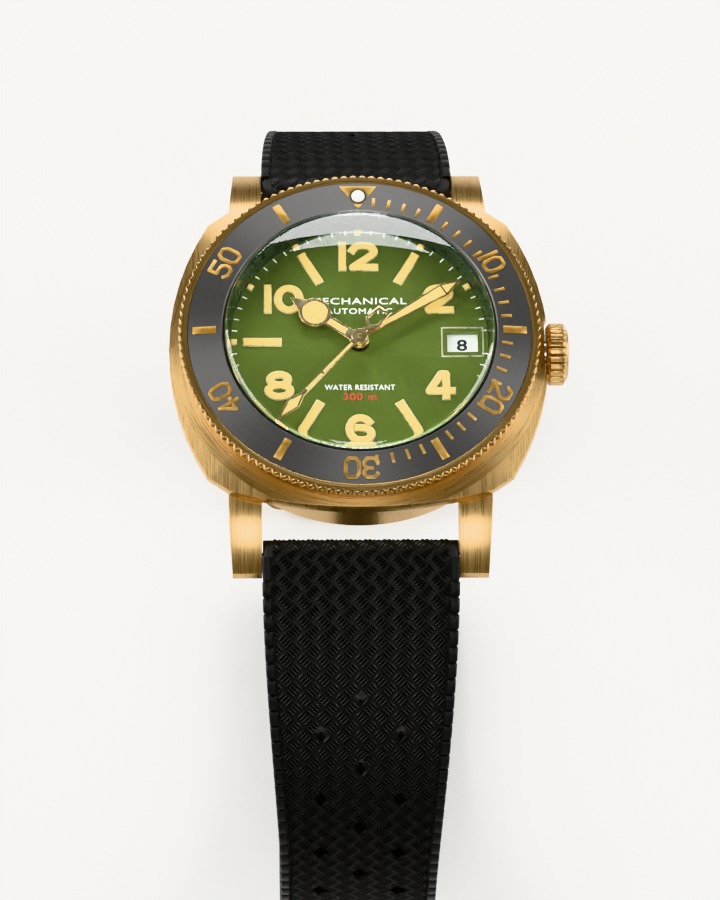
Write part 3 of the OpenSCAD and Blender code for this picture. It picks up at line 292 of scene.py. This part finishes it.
def brushed_metal(name, dark, light, rough, grain=(2600, 260, 2600), bump=0.35, depth=0.006):
    """Metal with fine straight brushing and slow colour changes."""
    s = Shader(name, light, rough, 1.0)
    lines = s.noise(s.stretch(grain), 1.0, 3.0, 0.65)
    clouds = s.noise(s.where, 160.0, 3.0)
    s.link(s.ramp(clouds, [(0.3, dark), (0.7, light)]), s.bsdf.inputs["Base Color"])
    s.link(s.span(lines, rough - 0.07, rough + 0.1, (0.3, 0.7)), s.bsdf.inputs["Roughness"])
    s.bump(lines, depth * MM, bump)
    return s.mat


def polished_metal(name, dark, light, rough):
    """Polished metal with faint wear marks."""
    s = Shader(name, light, rough, 1.0)
    marks = s.noise(s.where, 900.0, 5.0, 0.7)
    s.link(s.ramp(marks, [(0.3, dark), (0.65, light)]), s.bsdf.inputs["Base Color"])
    s.link(s.span(marks, rough * 0.7, rough * 1.5, (0.3, 0.7)), s.bsdf.inputs["Roughness"])
    s.bump(marks, 0.004 * MM, 0.3)
    return s.mat


def circular_brushed(name, dark, light, rough, metal, streak_count, aniso, turned, bump=0.3, spread=1.0):
    """A surface brushed about Z: rings when turned is true, rays when it isn't."""
    s = Shader(name, light, rough, metal)
    turn, radius = s.polar()
    join = s.add("ShaderNodeCombineXYZ")
    if turned:
        s.link(s.math("MULTIPLY", radius, 9000.0), join.inputs["X"])
        s.link(s.math("MULTIPLY", turn, 2.0), join.inputs["Y"])
    else:
        s.link(s.math("MULTIPLY", turn, streak_count), join.inputs["X"])
        s.link(s.math("MULTIPLY", radius, 90.0), join.inputs["Y"])
    streaks = s.noise(join.outputs[0], 1.0, 4.0, 0.7)
    s.link(s.ramp(streaks, [(0.3, dark), (0.7, light)]), s.bsdf.inputs["Base Color"])
    s.link(s.span(streaks, rough - 0.05 * spread, rough + 0.09 * spread, (0.3, 0.7)),
           s.bsdf.inputs["Roughness"])
    s.set("Anisotropic", aniso)
    s.set("Anisotropic Rotation", 0.25 if turned else 0.0)
    tangent = s.add("ShaderNodeTangent", direction_type="RADIAL", axis="Z")
    s.link(tangent.outputs[0], s.bsdf.inputs["Tangent"])
    s.bump(streaks, 0.004 * MM, bump)
    return s.mat


def case_bronze(name, dark, light, rough, switch):
    """Bronze brushed in circles about Z within a radius, and along Y beyond it."""
    s = Shader(name, light, rough, 1.0)
    turn, radius = s.polar()
    outside = s.math("GREATER_THAN", radius, switch * MM)
    rings = s.add("ShaderNodeCombineXYZ")
    s.link(s.math("MULTIPLY", radius, 7000.0), rings.inputs["X"])
    s.link(s.math("MULTIPLY", turn, 2.5), rings.inputs["Y"])
    lines = s.stretch((7000.0, 150.0, 150.0))
    pick = s.add("ShaderNodeMix", data_type="VECTOR")
    s.link(outside, pick.inputs["Factor"])
    s.link(rings.outputs[0], pick.inputs[4])
    s.link(lines, pick.inputs[5])
    streaks = s.noise(pick.outputs[1], 1.0, 4.0, 0.7)
    s.link(s.ramp(streaks, [(0.3, dark), (0.7, light)]), s.bsdf.inputs["Base Color"])
    s.link(s.span(streaks, rough - 0.05, rough + 0.08, (0.3, 0.7)), s.bsdf.inputs["Roughness"])
    s.set("Anisotropic", 0.6)
    s.set("Anisotropic Rotation", 0.25)
    circle = s.add("ShaderNodeTangent", direction_type="RADIAL", axis="Z")
    along = s.add("ShaderNodeCombineXYZ")
    along.inputs["Y"].default_value = 1.0
    grain = s.add("ShaderNodeMix", data_type="VECTOR")
    s.link(outside, grain.inputs["Factor"])
    s.link(circle.outputs[0], grain.inputs[4])
    s.link(along.outputs[0], grain.inputs[5])
    s.link(grain.outputs[1], s.bsdf.inputs["Tangent"])
    s.bump(streaks, 0.003 * MM, 0.08)
    return s.mat


def speckled(name, dark, light, rough, scale=1400.0, depth=0.01, bump=0.4, **sockets):
    """A matte filling or lacquer with fine grain."""
    s = Shader(name, light, rough, 0.0, **sockets)
    grain = s.noise(s.where, scale, 4.0, 0.65)
    s.link(s.ramp(grain, [(0.3, dark), (0.7, light)]), s.bsdf.inputs["Base Color"])
    s.link(s.span(grain, rough - 0.08, rough + 0.1, (0.3, 0.7)), s.bsdf.inputs["Roughness"])
    s.bump(grain, depth * MM, bump)
    return s.mat


def crystal_glass(name):
    """Clear crystal that lets shadow rays through, so that the dial is lit."""
    s = Shader(name, (0.97, 1.0, 0.985), 0.0, 0.0, IOR=1.6, Transmission_Weight=1.0)
    clear = s.add("ShaderNodeBsdfTransparent")
    path = s.add("ShaderNodeLightPath")
    mix = s.add("ShaderNodeMixShader")
    out = s.nodes["Material Output"]
    s.link(path.outputs["Is Shadow Ray"], mix.inputs["Fac"])
    s.link(s.bsdf.outputs[0], mix.inputs[1])
    s.link(clear.outputs[0], mix.inputs[2])
    s.link(mix.outputs[0], out.inputs["Surface"])
    return s.mat


BRONZE_DARK = (0.50, 0.32, 0.135)
BRONZE_LIGHT = (0.62, 0.42, 0.195)
MATERIALS = {
    "bronze": brushed_metal("bronze", BRONZE_DARK, BRONZE_LIGHT, 0.3, bump=0.15, depth=0.003),
    "polished_bronze": polished_metal("polished_bronze", (0.74, 0.55, 0.28), (0.92, 0.76, 0.47), 0.16),
    "steel": brushed_metal("steel", (0.42, 0.42, 0.43), (0.62, 0.62, 0.63), 0.28),
    "brass": brushed_metal("brass", (0.55, 0.38, 0.13), (0.76, 0.57, 0.25), 0.25),
    "rubber": speckled("rubber", (0.005, 0.005, 0.0045), (0.012, 0.012, 0.011), 0.5, 2500.0, 0.012,
                       0.4, Specular_IOR_Level=0.28),
    "gasket_rubber": speckled("gasket_rubber", (0.004, 0.004, 0.004), (0.01, 0.01, 0.01), 0.4),
    "sapphire": crystal_glass("sapphire"),
    "ceramic": circular_brushed("ceramic", (0.185, 0.183, 0.178), (0.2, 0.198, 0.193), 0.36, 0.95,
                                700.0, 0.75, True, 0.02, 0.15),
    "gold_inlay": brushed_metal("gold_inlay", (0.55, 0.31, 0.08), (0.86, 0.55, 0.19), 0.38,
                                (1800, 1800, 1800), 0.3),
    "lume": speckled("lume", (0.68, 0.46, 0.11), (0.76, 0.55, 0.16), 0.55, 1800.0, 0.012, 0.5),
    "marker_border": polished_metal("marker_border", (0.75, 0.68, 0.5), (0.92, 0.87, 0.72), 0.3),
    "dial_green": circular_brushed("dial_green", (0.11, 0.155, 0.035), (0.165, 0.225, 0.055), 0.36, 0.85,
                                   420.0, 0.75, False, 0.2, 0.5),
    "date_white": speckled("date_white", (0.78, 0.78, 0.76), (0.88, 0.88, 0.86), 0.5),
    "ruby": speckled("ruby", (0.45, 0.02, 0.08), (0.62, 0.04, 0.13), 0.12),
    "blued_steel": polished_metal("blued_steel", (0.03, 0.06, 0.22), (0.07, 0.12, 0.36), 0.2),
}
INK_WHITE = speckled("ink_white", (0.78, 0.79, 0.76), (0.9, 0.9, 0.88), 0.5)
INK_RED = speckled("ink_red", (0.42, 0.02, 0.015), (0.6, 0.04, 0.03), 0.5)
INK_BLACK = speckled("ink_black", (0.005, 0.005, 0.005), (0.015, 0.015, 0.015), 0.45)
RUBBER_INSIDE = speckled("rubber_inside", (0.008, 0.008, 0.0075), (0.02, 0.02, 0.019), 0.7, 1200.0,
                         0.03, 0.6)
PEARL = speckled("pearl_enamel", (0.86, 0.86, 0.82), (0.95, 0.95, 0.92), 0.25, 900.0, 0.002, 0.1)

for node, obj in NODES.items():
    obj.data.materials.clear()
    obj.data.materials.append(MATERIALS[SLOT_OF[node]])
    shade(obj, 30.0)


# ---------- case, bezel and crown ----------

CASE_BRONZE = case_bronze("case_bronze", BRONZE_DARK, BRONZE_LIGHT, 0.28, 19.4)
soften("case_middle", 0.16, 3, CASE_BRONZE, angle=20.0)
soften("buckle_frame", 0.3, 3)
soften("buckle_tongue", 0.2, 3)
soften("fixed_keeper", 0.35, 3)
soften("sliding_keeper", 0.35, 3)

RIM_BRONZE = circular_brushed("rim_bronze", BRONZE_DARK, BRONZE_LIGHT, 0.26, 1.0, 700.0, 0.5, True, 0.1)
TEETH = 120
NOTCH = 0.3


def tooth(turn, count, sharpness):
    """0 on a crest and 1 at the bottom of a notch."""
    return abs(2 * ((turn * count) % 1.0) - 1) ** sharpness


def bezel_ring():
    """Flat rim over a coin edge of rounded teeth, and a plain skirt under it."""
    wall, z0, z1 = BEZEL_R, BEZEL_Z0, BEZEL_Z1
    root = wall - NOTCH - 0.05
    low = z1 - 0.91
    inner = INSERT_R1 + 0.02
    profile = [
        (16.05, z0), (17.37, z0), (17.45, z0 + 0.08), (17.45, low - 0.5), (root, low - 0.02),
        (wall - 0.04, low), (wall, low + 0.06), (wall, z1 - 0.1), (wall - 0.03, z1 - 0.03),
        (wall - 0.1, z1), (root - 0.02, z1), (inner + 0.1, z1), (inner + 0.03, z1 - 0.02),
        (inner, z1 - 0.08), (inner, z1 - 0.72), (16.05, z1 - 0.72),
    ]

    def shape(radius, turn):
        share = min(1.0, max(0.0, (radius - root) / NOTCH))
        return radius - NOTCH * share * tooth(turn, TEETH, 1.6)

    verts, faces = revolved(profile, TEETH * 12, shape)
    obj = add_mesh("bezel_ring_shown", verts, faces, "bezel", RIM_BRONZE, 32.0)
    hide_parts("bezel_ring")


def crystal():
    """Smooth dome over a thinner one, like the CAD part without its facets."""
    low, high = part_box("crystal")
    radius = high.x / MM
    top, bottom = high.z / MM, low.z / MM
    sag, under_r, thick = CRYSTAL_SAG, radius - CRYSTAL_LIP, CRYSTAL_THICK
    outer = (radius ** 2 + sag ** 2) / (2 * sag)
    inner = (under_r ** 2 + sag ** 2) / (2 * sag)
    steps = 40
    profile = [(0.004, top - thick)]
    for i in range(1, steps + 1):
        r = under_r * i / steps
        profile.append((r, top - thick - inner + math.sqrt(inner ** 2 - r ** 2)))
    profile += [(under_r, bottom), (radius, bottom), (radius, top - sag - CRYSTAL_BEVEL)]
    for i in range(steps, 0, -1):
        r = (radius - CRYSTAL_BEVEL) * i / steps
        profile.append((r, top - outer + math.sqrt(outer ** 2 - r ** 2)))
    profile.append((0.004, top))
    verts, faces = revolved(profile[::-1], 128)
    obj = add_mesh("crystal_shown", verts, faces, BODY_OF["crystal"], MATERIALS["sapphire"], 40.0)
    face_outward(obj)
    shade(obj, 40.0)
    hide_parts("crystal")


def crown():
    """Fluted crown, made about Z and turned to point along X."""
    length = (CROWN_HIGH.x - CROWN_LOW.x) / MM
    radius = (CROWN_HIGH.y - CROWN_LOW.y) / 2 / MM
    axis_z = (CROWN_HIGH.z + CROWN_LOW.z) / 2 / MM
    profile = [(1.52, 0), (radius - 0.5, 0), (radius - 0.34, 0.08), (radius - 0.1, 0.28), (radius, 0.4),
               (radius, length * 0.45), (radius, length - 0.72), (radius - 0.07, length - 0.56),
               (radius - 0.34, length - 0.4), (radius - 0.5, length - 0.34), (radius - 0.62, length - 0.18),
               (radius - 0.85, length - 0.1), (radius * 0.5, length - 0.03), (0.02, length),
               (0.02, 1.78), (1.52, 1.76)]
    edge = radius - 0.36

    def shape(r, turn):
        share = min(1.0, max(0.0, (r - edge) / 0.26))
        return r - 0.34 * share * tooth(turn, 24, 6.0)

    verts, faces = revolved(profile, 24 * 20, shape)
    turned = [(z + CROWN_LOW.x / MM, y, -x + axis_z) for x, y, z in verts]
    obj = add_mesh("crown_shown", turned, faces, "crown", MATERIALS["bronze"], 32.0)
    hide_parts("crown")


bezel_ring()
crown()
crystal()

# ---------- dial, markers and hands ----------

for node, width in (("hour_markers", 0.03), ("marker_lume", 0.03), ("bezel_inlays", 0.015),
                    ("hour_hand", 0.04), ("minute_hand", 0.04), ("seconds_hand", 0.035),
                    ("hour_hand_lume", 0.03), ("minute_hand_lume", 0.03), ("seconds_hand_lume", 0.02)):
    soften(node, width, 2, angle=50.0)


def text_mesh(name, text, height, center, z, depth, spacing=1.0, width=None, turn=0.0, bold=0.0):
    """Raised letters as a mesh, centred at a point; width, when given, squeezes or spreads the line."""
    curve = bpy.data.curves.new(name, "FONT")
    curve.body = text
    curve.size = 1.0
    curve.align_x = "CENTER"
    curve.align_y = "CENTER"
    curve.space_character = spacing
    curve.extrude = 0.5
    curve.offset = bold
    curve.resolution_u = 4
    temp = bpy.data.objects.new(name + "_temp", curve)
    bpy.context.scene.collection.objects.link(temp)
    bpy.context.view_layer.update()
    mesh = bpy.data.meshes.new_from_object(temp.evaluated_get(bpy.context.evaluated_depsgraph_get()))
    bpy.data.objects.remove(temp)
    xs = [v.co.x for v in mesh.vertices]
    ys = [v.co.y for v in mesh.vertices]
    tall = height / (max(ys) - min(ys))
    wide = (width / (max(xs) - min(xs))) if width else tall
    middle = Vector(((max(xs) + min(xs)) / 2, (max(ys) + min(ys)) / 2, 0.0))
    place = Matrix.Rotation(math.radians(turn), 4, "Z") @ Matrix.Translation(
        (center[0] * MM, center[1] * MM, z * MM))
    mesh.transform(place @ Matrix.Diagonal((wide * MM, tall * MM, depth * MM, 1.0))
                   @ Matrix.Translation(-middle))
    return mesh


def joined(name, meshes, body, material):
    work = bmesh.new()
    for mesh in meshes:
        work.from_mesh(mesh)
    mesh = bpy.data.meshes.new(name)
    work.to_mesh(mesh)
    work.free()
    return add_object(name, mesh, body, material, None)


INK = 0.025
joined("dial_print_white", [
    text_mesh("line_1", "MECHANICAL", 0.72, (0, 4.75), DIAL_Z + INK / 2, INK, 1.1, 9.6),
    text_mesh("line_2", "AUTOMATIC", 0.62, (0, 3.6), DIAL_Z + INK / 2, INK, 1.1, 6.7),
    text_mesh("line_3", "WATER RESISTANT", 0.58, (0, -5.1), DIAL_Z + INK / 2, INK, 1.1, 7.0),
], "case", INK_WHITE)
joined("dial_print_red", [
    text_mesh("line_4", "300 m", 0.78, (0, -6.15), DIAL_Z + INK / 2, INK, 1.1, 3.3),
], "case", INK_RED)

DATE_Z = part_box("date_disc")[1].z / MM
joined("date_numerals", [
    text_mesh(f"day_{day}", str(day), 1.3, (10.3, 0), DATE_Z + 0.012, 0.03,
              turn=(day - 8) * 360.0 / 31, bold=0.022, width=1.05 if day < 10 else 1.9)
    for day in range(1, 32)
], "date_ring", INK_BLACK)


def minute_track():
    """Fine ticks round the dial between the five-minute blocks."""
    verts = []
    faces = []
    for minute in range(60):
        if minute % 5 == 0:
            continue
        a = math.radians(90 - minute * 6)
        across = Vector((-math.sin(a), math.cos(a))) * 0.05
        start = len(verts)
        for z in (DIAL_Z, DIAL_Z + INK):
            for r, side in ((12.3, -1), (12.8, -1), (12.8, 1), (12.3, 1)):
                verts.append((r * math.cos(a) + side * across.x, r * math.sin(a) + side * across.y, z))
        for quad in ((3, 2, 1, 0), (4, 5, 6, 7), (0, 1, 5, 4), (1, 2, 6, 5), (2, 3, 7, 6), (3, 0, 4, 7)):
            faces.append(tuple(start + k for k in quad))
    add_mesh("minute_track", verts, faces, "case", INK_WHITE, None)


minute_track()
NODES["bezel_pearl"].data.materials[0] = PEARL
NODES["rehaut_ring"].data.materials[0] = speckled("rehaut_dark", (0.008, 0.014, 0.009), (0.014, 0.022, 0.014),
                                                  0.3, 1500.0, 0.002, 0.1)

# ---------- strap ----------

def strap_point(arcs, d):
    """Centreline of a strap half at a distance from its spring bar: y, z and heading in degrees."""
    y, z, heading, done = BAR_Y, BAR_Z, arcs[0], 0.0
    for radius, end in arcs[1:]:
        length = radius * math.radians(end - heading)
        run = min(d - done, length)
        a = heading + math.degrees(run / radius)
        y += radius * (math.sin(math.radians(a)) - math.sin(math.radians(heading)))
        z += radius * (math.cos(math.radians(a)) - math.cos(math.radians(heading)))
        if d - done <= length:
            return y, z, a
        done += length
        heading = end
    flat = d - done
    return (y + flat * math.cos(math.radians(heading)), z - flat * math.sin(math.radians(heading)),
            heading)


def strap_width(d):
    u = min(1.0, max(0.0, d / TAPER))
    return STRAP_W0 - (STRAP_W0 - STRAP_W1) * u * u * (3 - 2 * u)


def strap_half_thick(d):
    return (STRAP_T0 - (STRAP_T0 - STRAP_T1) * min(1.0, d / TAPER)) / 2


def on_strap(arcs, side, x, d, height):
    """A point at x across, d along and height above the strap's outer face; d below 0 goes round the eye."""
    y, z, a = strap_point(arcs, max(d, 0.0))
    a += math.degrees(min(d, 0.0) / (STRAP_T0 / 2))
    out = strap_half_thick(max(d, 0.0)) + height
    y += out * math.sin(math.radians(a))
    z += out * math.cos(math.radians(a))
    return (side * x, side * y, z)


CELL = 1.36
STRANDS = 4
PER_CELL = 2 * STRANDS
RAIL_W = 0.8
RAIL_GAP = 0.22
WEAVE_H = 0.2


def weave_height(p, q):
    """Height of a basket weave of square cells, at grid steps along its two diagonals."""
    i, j = p // PER_CELL, q // PER_CELL
    u, v = p - i * PER_CELL, q - j * PER_CELL
    if (i + j) % 2:
        u, v = v, u
    across = 1.0 if v % 2 else 0.0
    along = math.sin(math.pi * min(max(u / PER_CELL, 0.0), 1.0)) ** 0.5
    return WEAVE_H * (0.15 + 0.85 * along * across) if u not in (0, PER_CELL) else 0.0


def hole_centres(last):
    count = int((last - HOLE_START) / HOLE_PITCH)
    holes = []
    for i in range(count + 1):
        d = HOLE_START + i * HOLE_PITCH
        holes += [(0.0, d)] if i % 2 == 0 else [(-HOLE_SIDE, d), (HOLE_SIDE, d)]
    return holes


def weave_skin(name, arcs, side, first, start, length, last_hole, body):
    """The woven face from start to length: a sheet with thickness, on a grid at 45 degrees to the strap.

    The grid starts at first, so that pieces of one strap half continue each other's pattern."""
    step = CELL / PER_CELL / math.sqrt(2)
    holes = hole_centres(last_hole)
    reach = int(length / step) + 4
    half = int(STRAP_W0 / 2 / step) + 2
    index = {}
    verts = []
    tops = []

    def clear(x, d):
        return all(abs(x - hx) + abs(d - hd) > HOLE_HALF * 0.98 for hx, hd in holes)

    def vertex(m, n):
        key = (m, n)
        if key not in index:
            x = m * step
            d = first + n * step
            limit = strap_width(d) / 2 - RAIL_W - RAIL_GAP + 0.15
            x = max(-limit, min(limit, x))
            p, q = (n + m) // 2, (n - m) // 2
            index[key] = len(verts)
            verts.append(on_strap(arcs, side, x, d, 0.01 + weave_height(p, q)))
        return index[key]

    for n in range(1, reach):
        for m in range(-half, half + 1):
            if (m + n) % 2:
                continue
            x, d = m * step, first + n * step
            if d < start or d + step > length or not clear(x, d + step):
                continue
            if abs(x) > strap_width(d) / 2 - RAIL_W - RAIL_GAP:
                continue
            tops.append((vertex(m, n), vertex(m + 1, n + 1), vertex(m, n + 2), vertex(m - 1, n + 1)))
    obj = add_mesh(name, verts, tops if side > 0 else [t[::-1] for t in tops], body,
                   MATERIALS["rubber"], 0)
    face_outward(obj)
    thick = obj.modifiers.new("thickness", "SOLIDIFY")
    thick.thickness = 0.12 * MM
    thick.offset = -1.0
    apply_modifiers(obj)
    shade(obj, 60.0)
    return obj


def strap_rail(name, arcs, side, edge, first, length, body):
    """Raised border of rounded bricks with narrow grooves between them."""
    pitch = 1.59
    brick = [(0.0, 0.4), (0.03, 1.0), (0.12, 1.0), (0.15, 0.4), (0.27, 0.0), (0.9, 0.0), (pitch - 0.12, 0.0)]
    stations = [(first, 0.0), (first + 1.0, 0.0)]
    d = first + 2.2
    while d + pitch < length:
        stations += [(d + step, cut) for step, cut in brick]
        d += pitch
    verts = []
    faces = []
    for i, (d, cut) in enumerate(stations):
        half = strap_width(max(d, 0.0)) / 2
        thick = 2 * strap_half_thick(max(d, 0.0))
        out = half + 0.1 - 0.2 * cut
        top = WEAVE_H + 0.08 - 0.24 * cut
        ring = [(half - RAIL_W, -0.3), (half - RAIL_W, top - 0.12), (half - RAIL_W + 0.1, top),
                (out - 0.24, top), (out - 0.07, top - 0.07), (out, top - 0.24),
                (out, -thick / 2), (out, -thick + 0.3), (out - 0.12, -thick + 0.08),
                (out - 0.34, -thick - 0.04), (half - RAIL_W, -thick - 0.04), (half - RAIL_W, -thick + 0.2)]
        base = len(verts)
        for x, h in ring:
            verts.append(on_strap(arcs, side, edge * x, d, h))
        size = len(ring)
        if i:
            for k in range(size):
                a, b = base - size + k, base - size + (k + 1) % size
                faces.append((a, b, b + size, a + size))
    faces.append(tuple(range(size)))
    faces.append(tuple(range(len(verts) - 1, len(verts) - 1 - size, -1)))
    obj = add_mesh(name, verts, faces, body, MATERIALS["rubber"], 0)
    face_outward(obj)
    shade(obj, 50.0)
    return obj


soften("strap_buckle_side", 0.05, 1, RUBBER_INSIDE, angle=50.0, smooth=35.0)
soften("strap_hole_side", 0.05, 1, RUBBER_INSIDE, angle=50.0, smooth=35.0)
# Distance along the strap, negative round the spring bar's eye
EYE = -2.2
RAIL_START = 0.3
SHORT_END = SHORT_HALF - 3.0
LONG_END = LONG_HALF - 6.0
SHORT_LAST_HOLE = SHORT_HALF - 24.0
LONG_LAST_HOLE = LONG_HALF - 8.0
weave_skin("weave_12", SHORT_ARCS, 1, EYE, EYE, SHORT_END, SHORT_LAST_HOLE, "strap_12")
weave_skin("weave_6_upper", LONG_ARCS, -1, EYE, EYE, LONG_HALF / 2, LONG_LAST_HOLE, "strap_6")
weave_skin("weave_6_lower", LONG_ARCS, -1, EYE, LONG_HALF / 2, LONG_END, LONG_LAST_HOLE, "strap_6")
for edge in (-1, 1):
    tag = "a" if edge < 0 else "b"
    strap_rail("rail_12_" + tag, SHORT_ARCS, 1, edge, RAIL_START, SHORT_END, "strap_12")
    strap_rail("rail_6_" + tag, LONG_ARCS, -1, edge, RAIL_START, LONG_END, "strap_6")


# ---------- studio ----------

def studio():
    floor_z = min(p[2] for p in cad_bounds) - 0.0005
    mesh = bpy.data.meshes.new("floor")
    far = 4.0
    mesh.from_pydata([(-far, -far, floor_z), (far, -far, floor_z), (far, far, floor_z),
                      (-far, far, floor_z)], [], [(0, 1, 2, 3)])
    floor = bpy.data.objects.new("floor", mesh)
    bpy.context.scene.collection.objects.link(floor)
    paper = Shader("floor_paper", (0.78, 0.77, 0.75), 0.8)
    shades = [(0.3, (0.76, 0.75, 0.73)), (0.7, (0.8, 0.79, 0.77))]
    paper.link(paper.ramp(paper.noise(paper.where, 30.0), shades), paper.bsdf.inputs["Base Color"])
    mesh.materials.append(paper.mat)
    world = bpy.data.worlds.new("studio")
    world.use_nodes = True
    world.node_tree.nodes["Background"].inputs[0].default_value = (0.86, 0.86, 0.85, 1.0)
    world.node_tree.nodes["Background"].inputs[1].default_value = 0.2
    bpy.context.scene.world = world


def softbox(name, at, size, energy, aim=(0, 0, 8), color=(1, 1, 1)):
    light = bpy.data.lights.new(name, "AREA")
    light.shape = "RECTANGLE"
    light.size, light.size_y = size[0] * MM, size[1] * MM
    light.energy = energy
    light.color = color
    obj = bpy.data.objects.new(name, light)
    obj.location = Vector(at) * MM
    obj.rotation_euler = (Vector(aim) - Vector(at)).to_track_quat("-Z", "Y").to_euler()
    bpy.context.scene.collection.objects.link(obj)


def camera():
    """Long lens over the 6 o'clock side, tilted from the dial's normal."""
    tilt, yaw, roll = 27.9, 1.22, 0.14
    cam = bpy.data.cameras.new("camera")
    cam.sensor_width = 36.0
    cam.lens = 193.2
    cam.clip_start = 0.01
    obj = bpy.data.objects.new("camera", cam)
    turn = (Matrix.Rotation(math.radians(tilt), 4, "X") @ Matrix.Rotation(math.radians(-yaw), 4, "Y")
            @ Matrix.Rotation(math.radians(-roll), 4, "Z"))
    obj.matrix_world = Matrix.Translation(Vector((-10.46, -240.4, 438.4)) * MM) @ turn
    bpy.context.scene.collection.objects.link(obj)
    bpy.context.scene.camera = obj


studio()
softbox("key_left", (-480, 60, 270), (420, 460), 4.6)
softbox("fill_right", (480, 40, 280), (340, 420), 3.4)
softbox("top_strip", (0, 470, 270), (420, 110), 1.3)
softbox("overhead", (0, -320, 640), (260, 240), 1.6)
softbox("front_low", (0, -420, 120), (300, 120), 0.3)
camera()
bpy.context.scene.view_settings.view_transform = "Khronos PBR Neutral"

import json
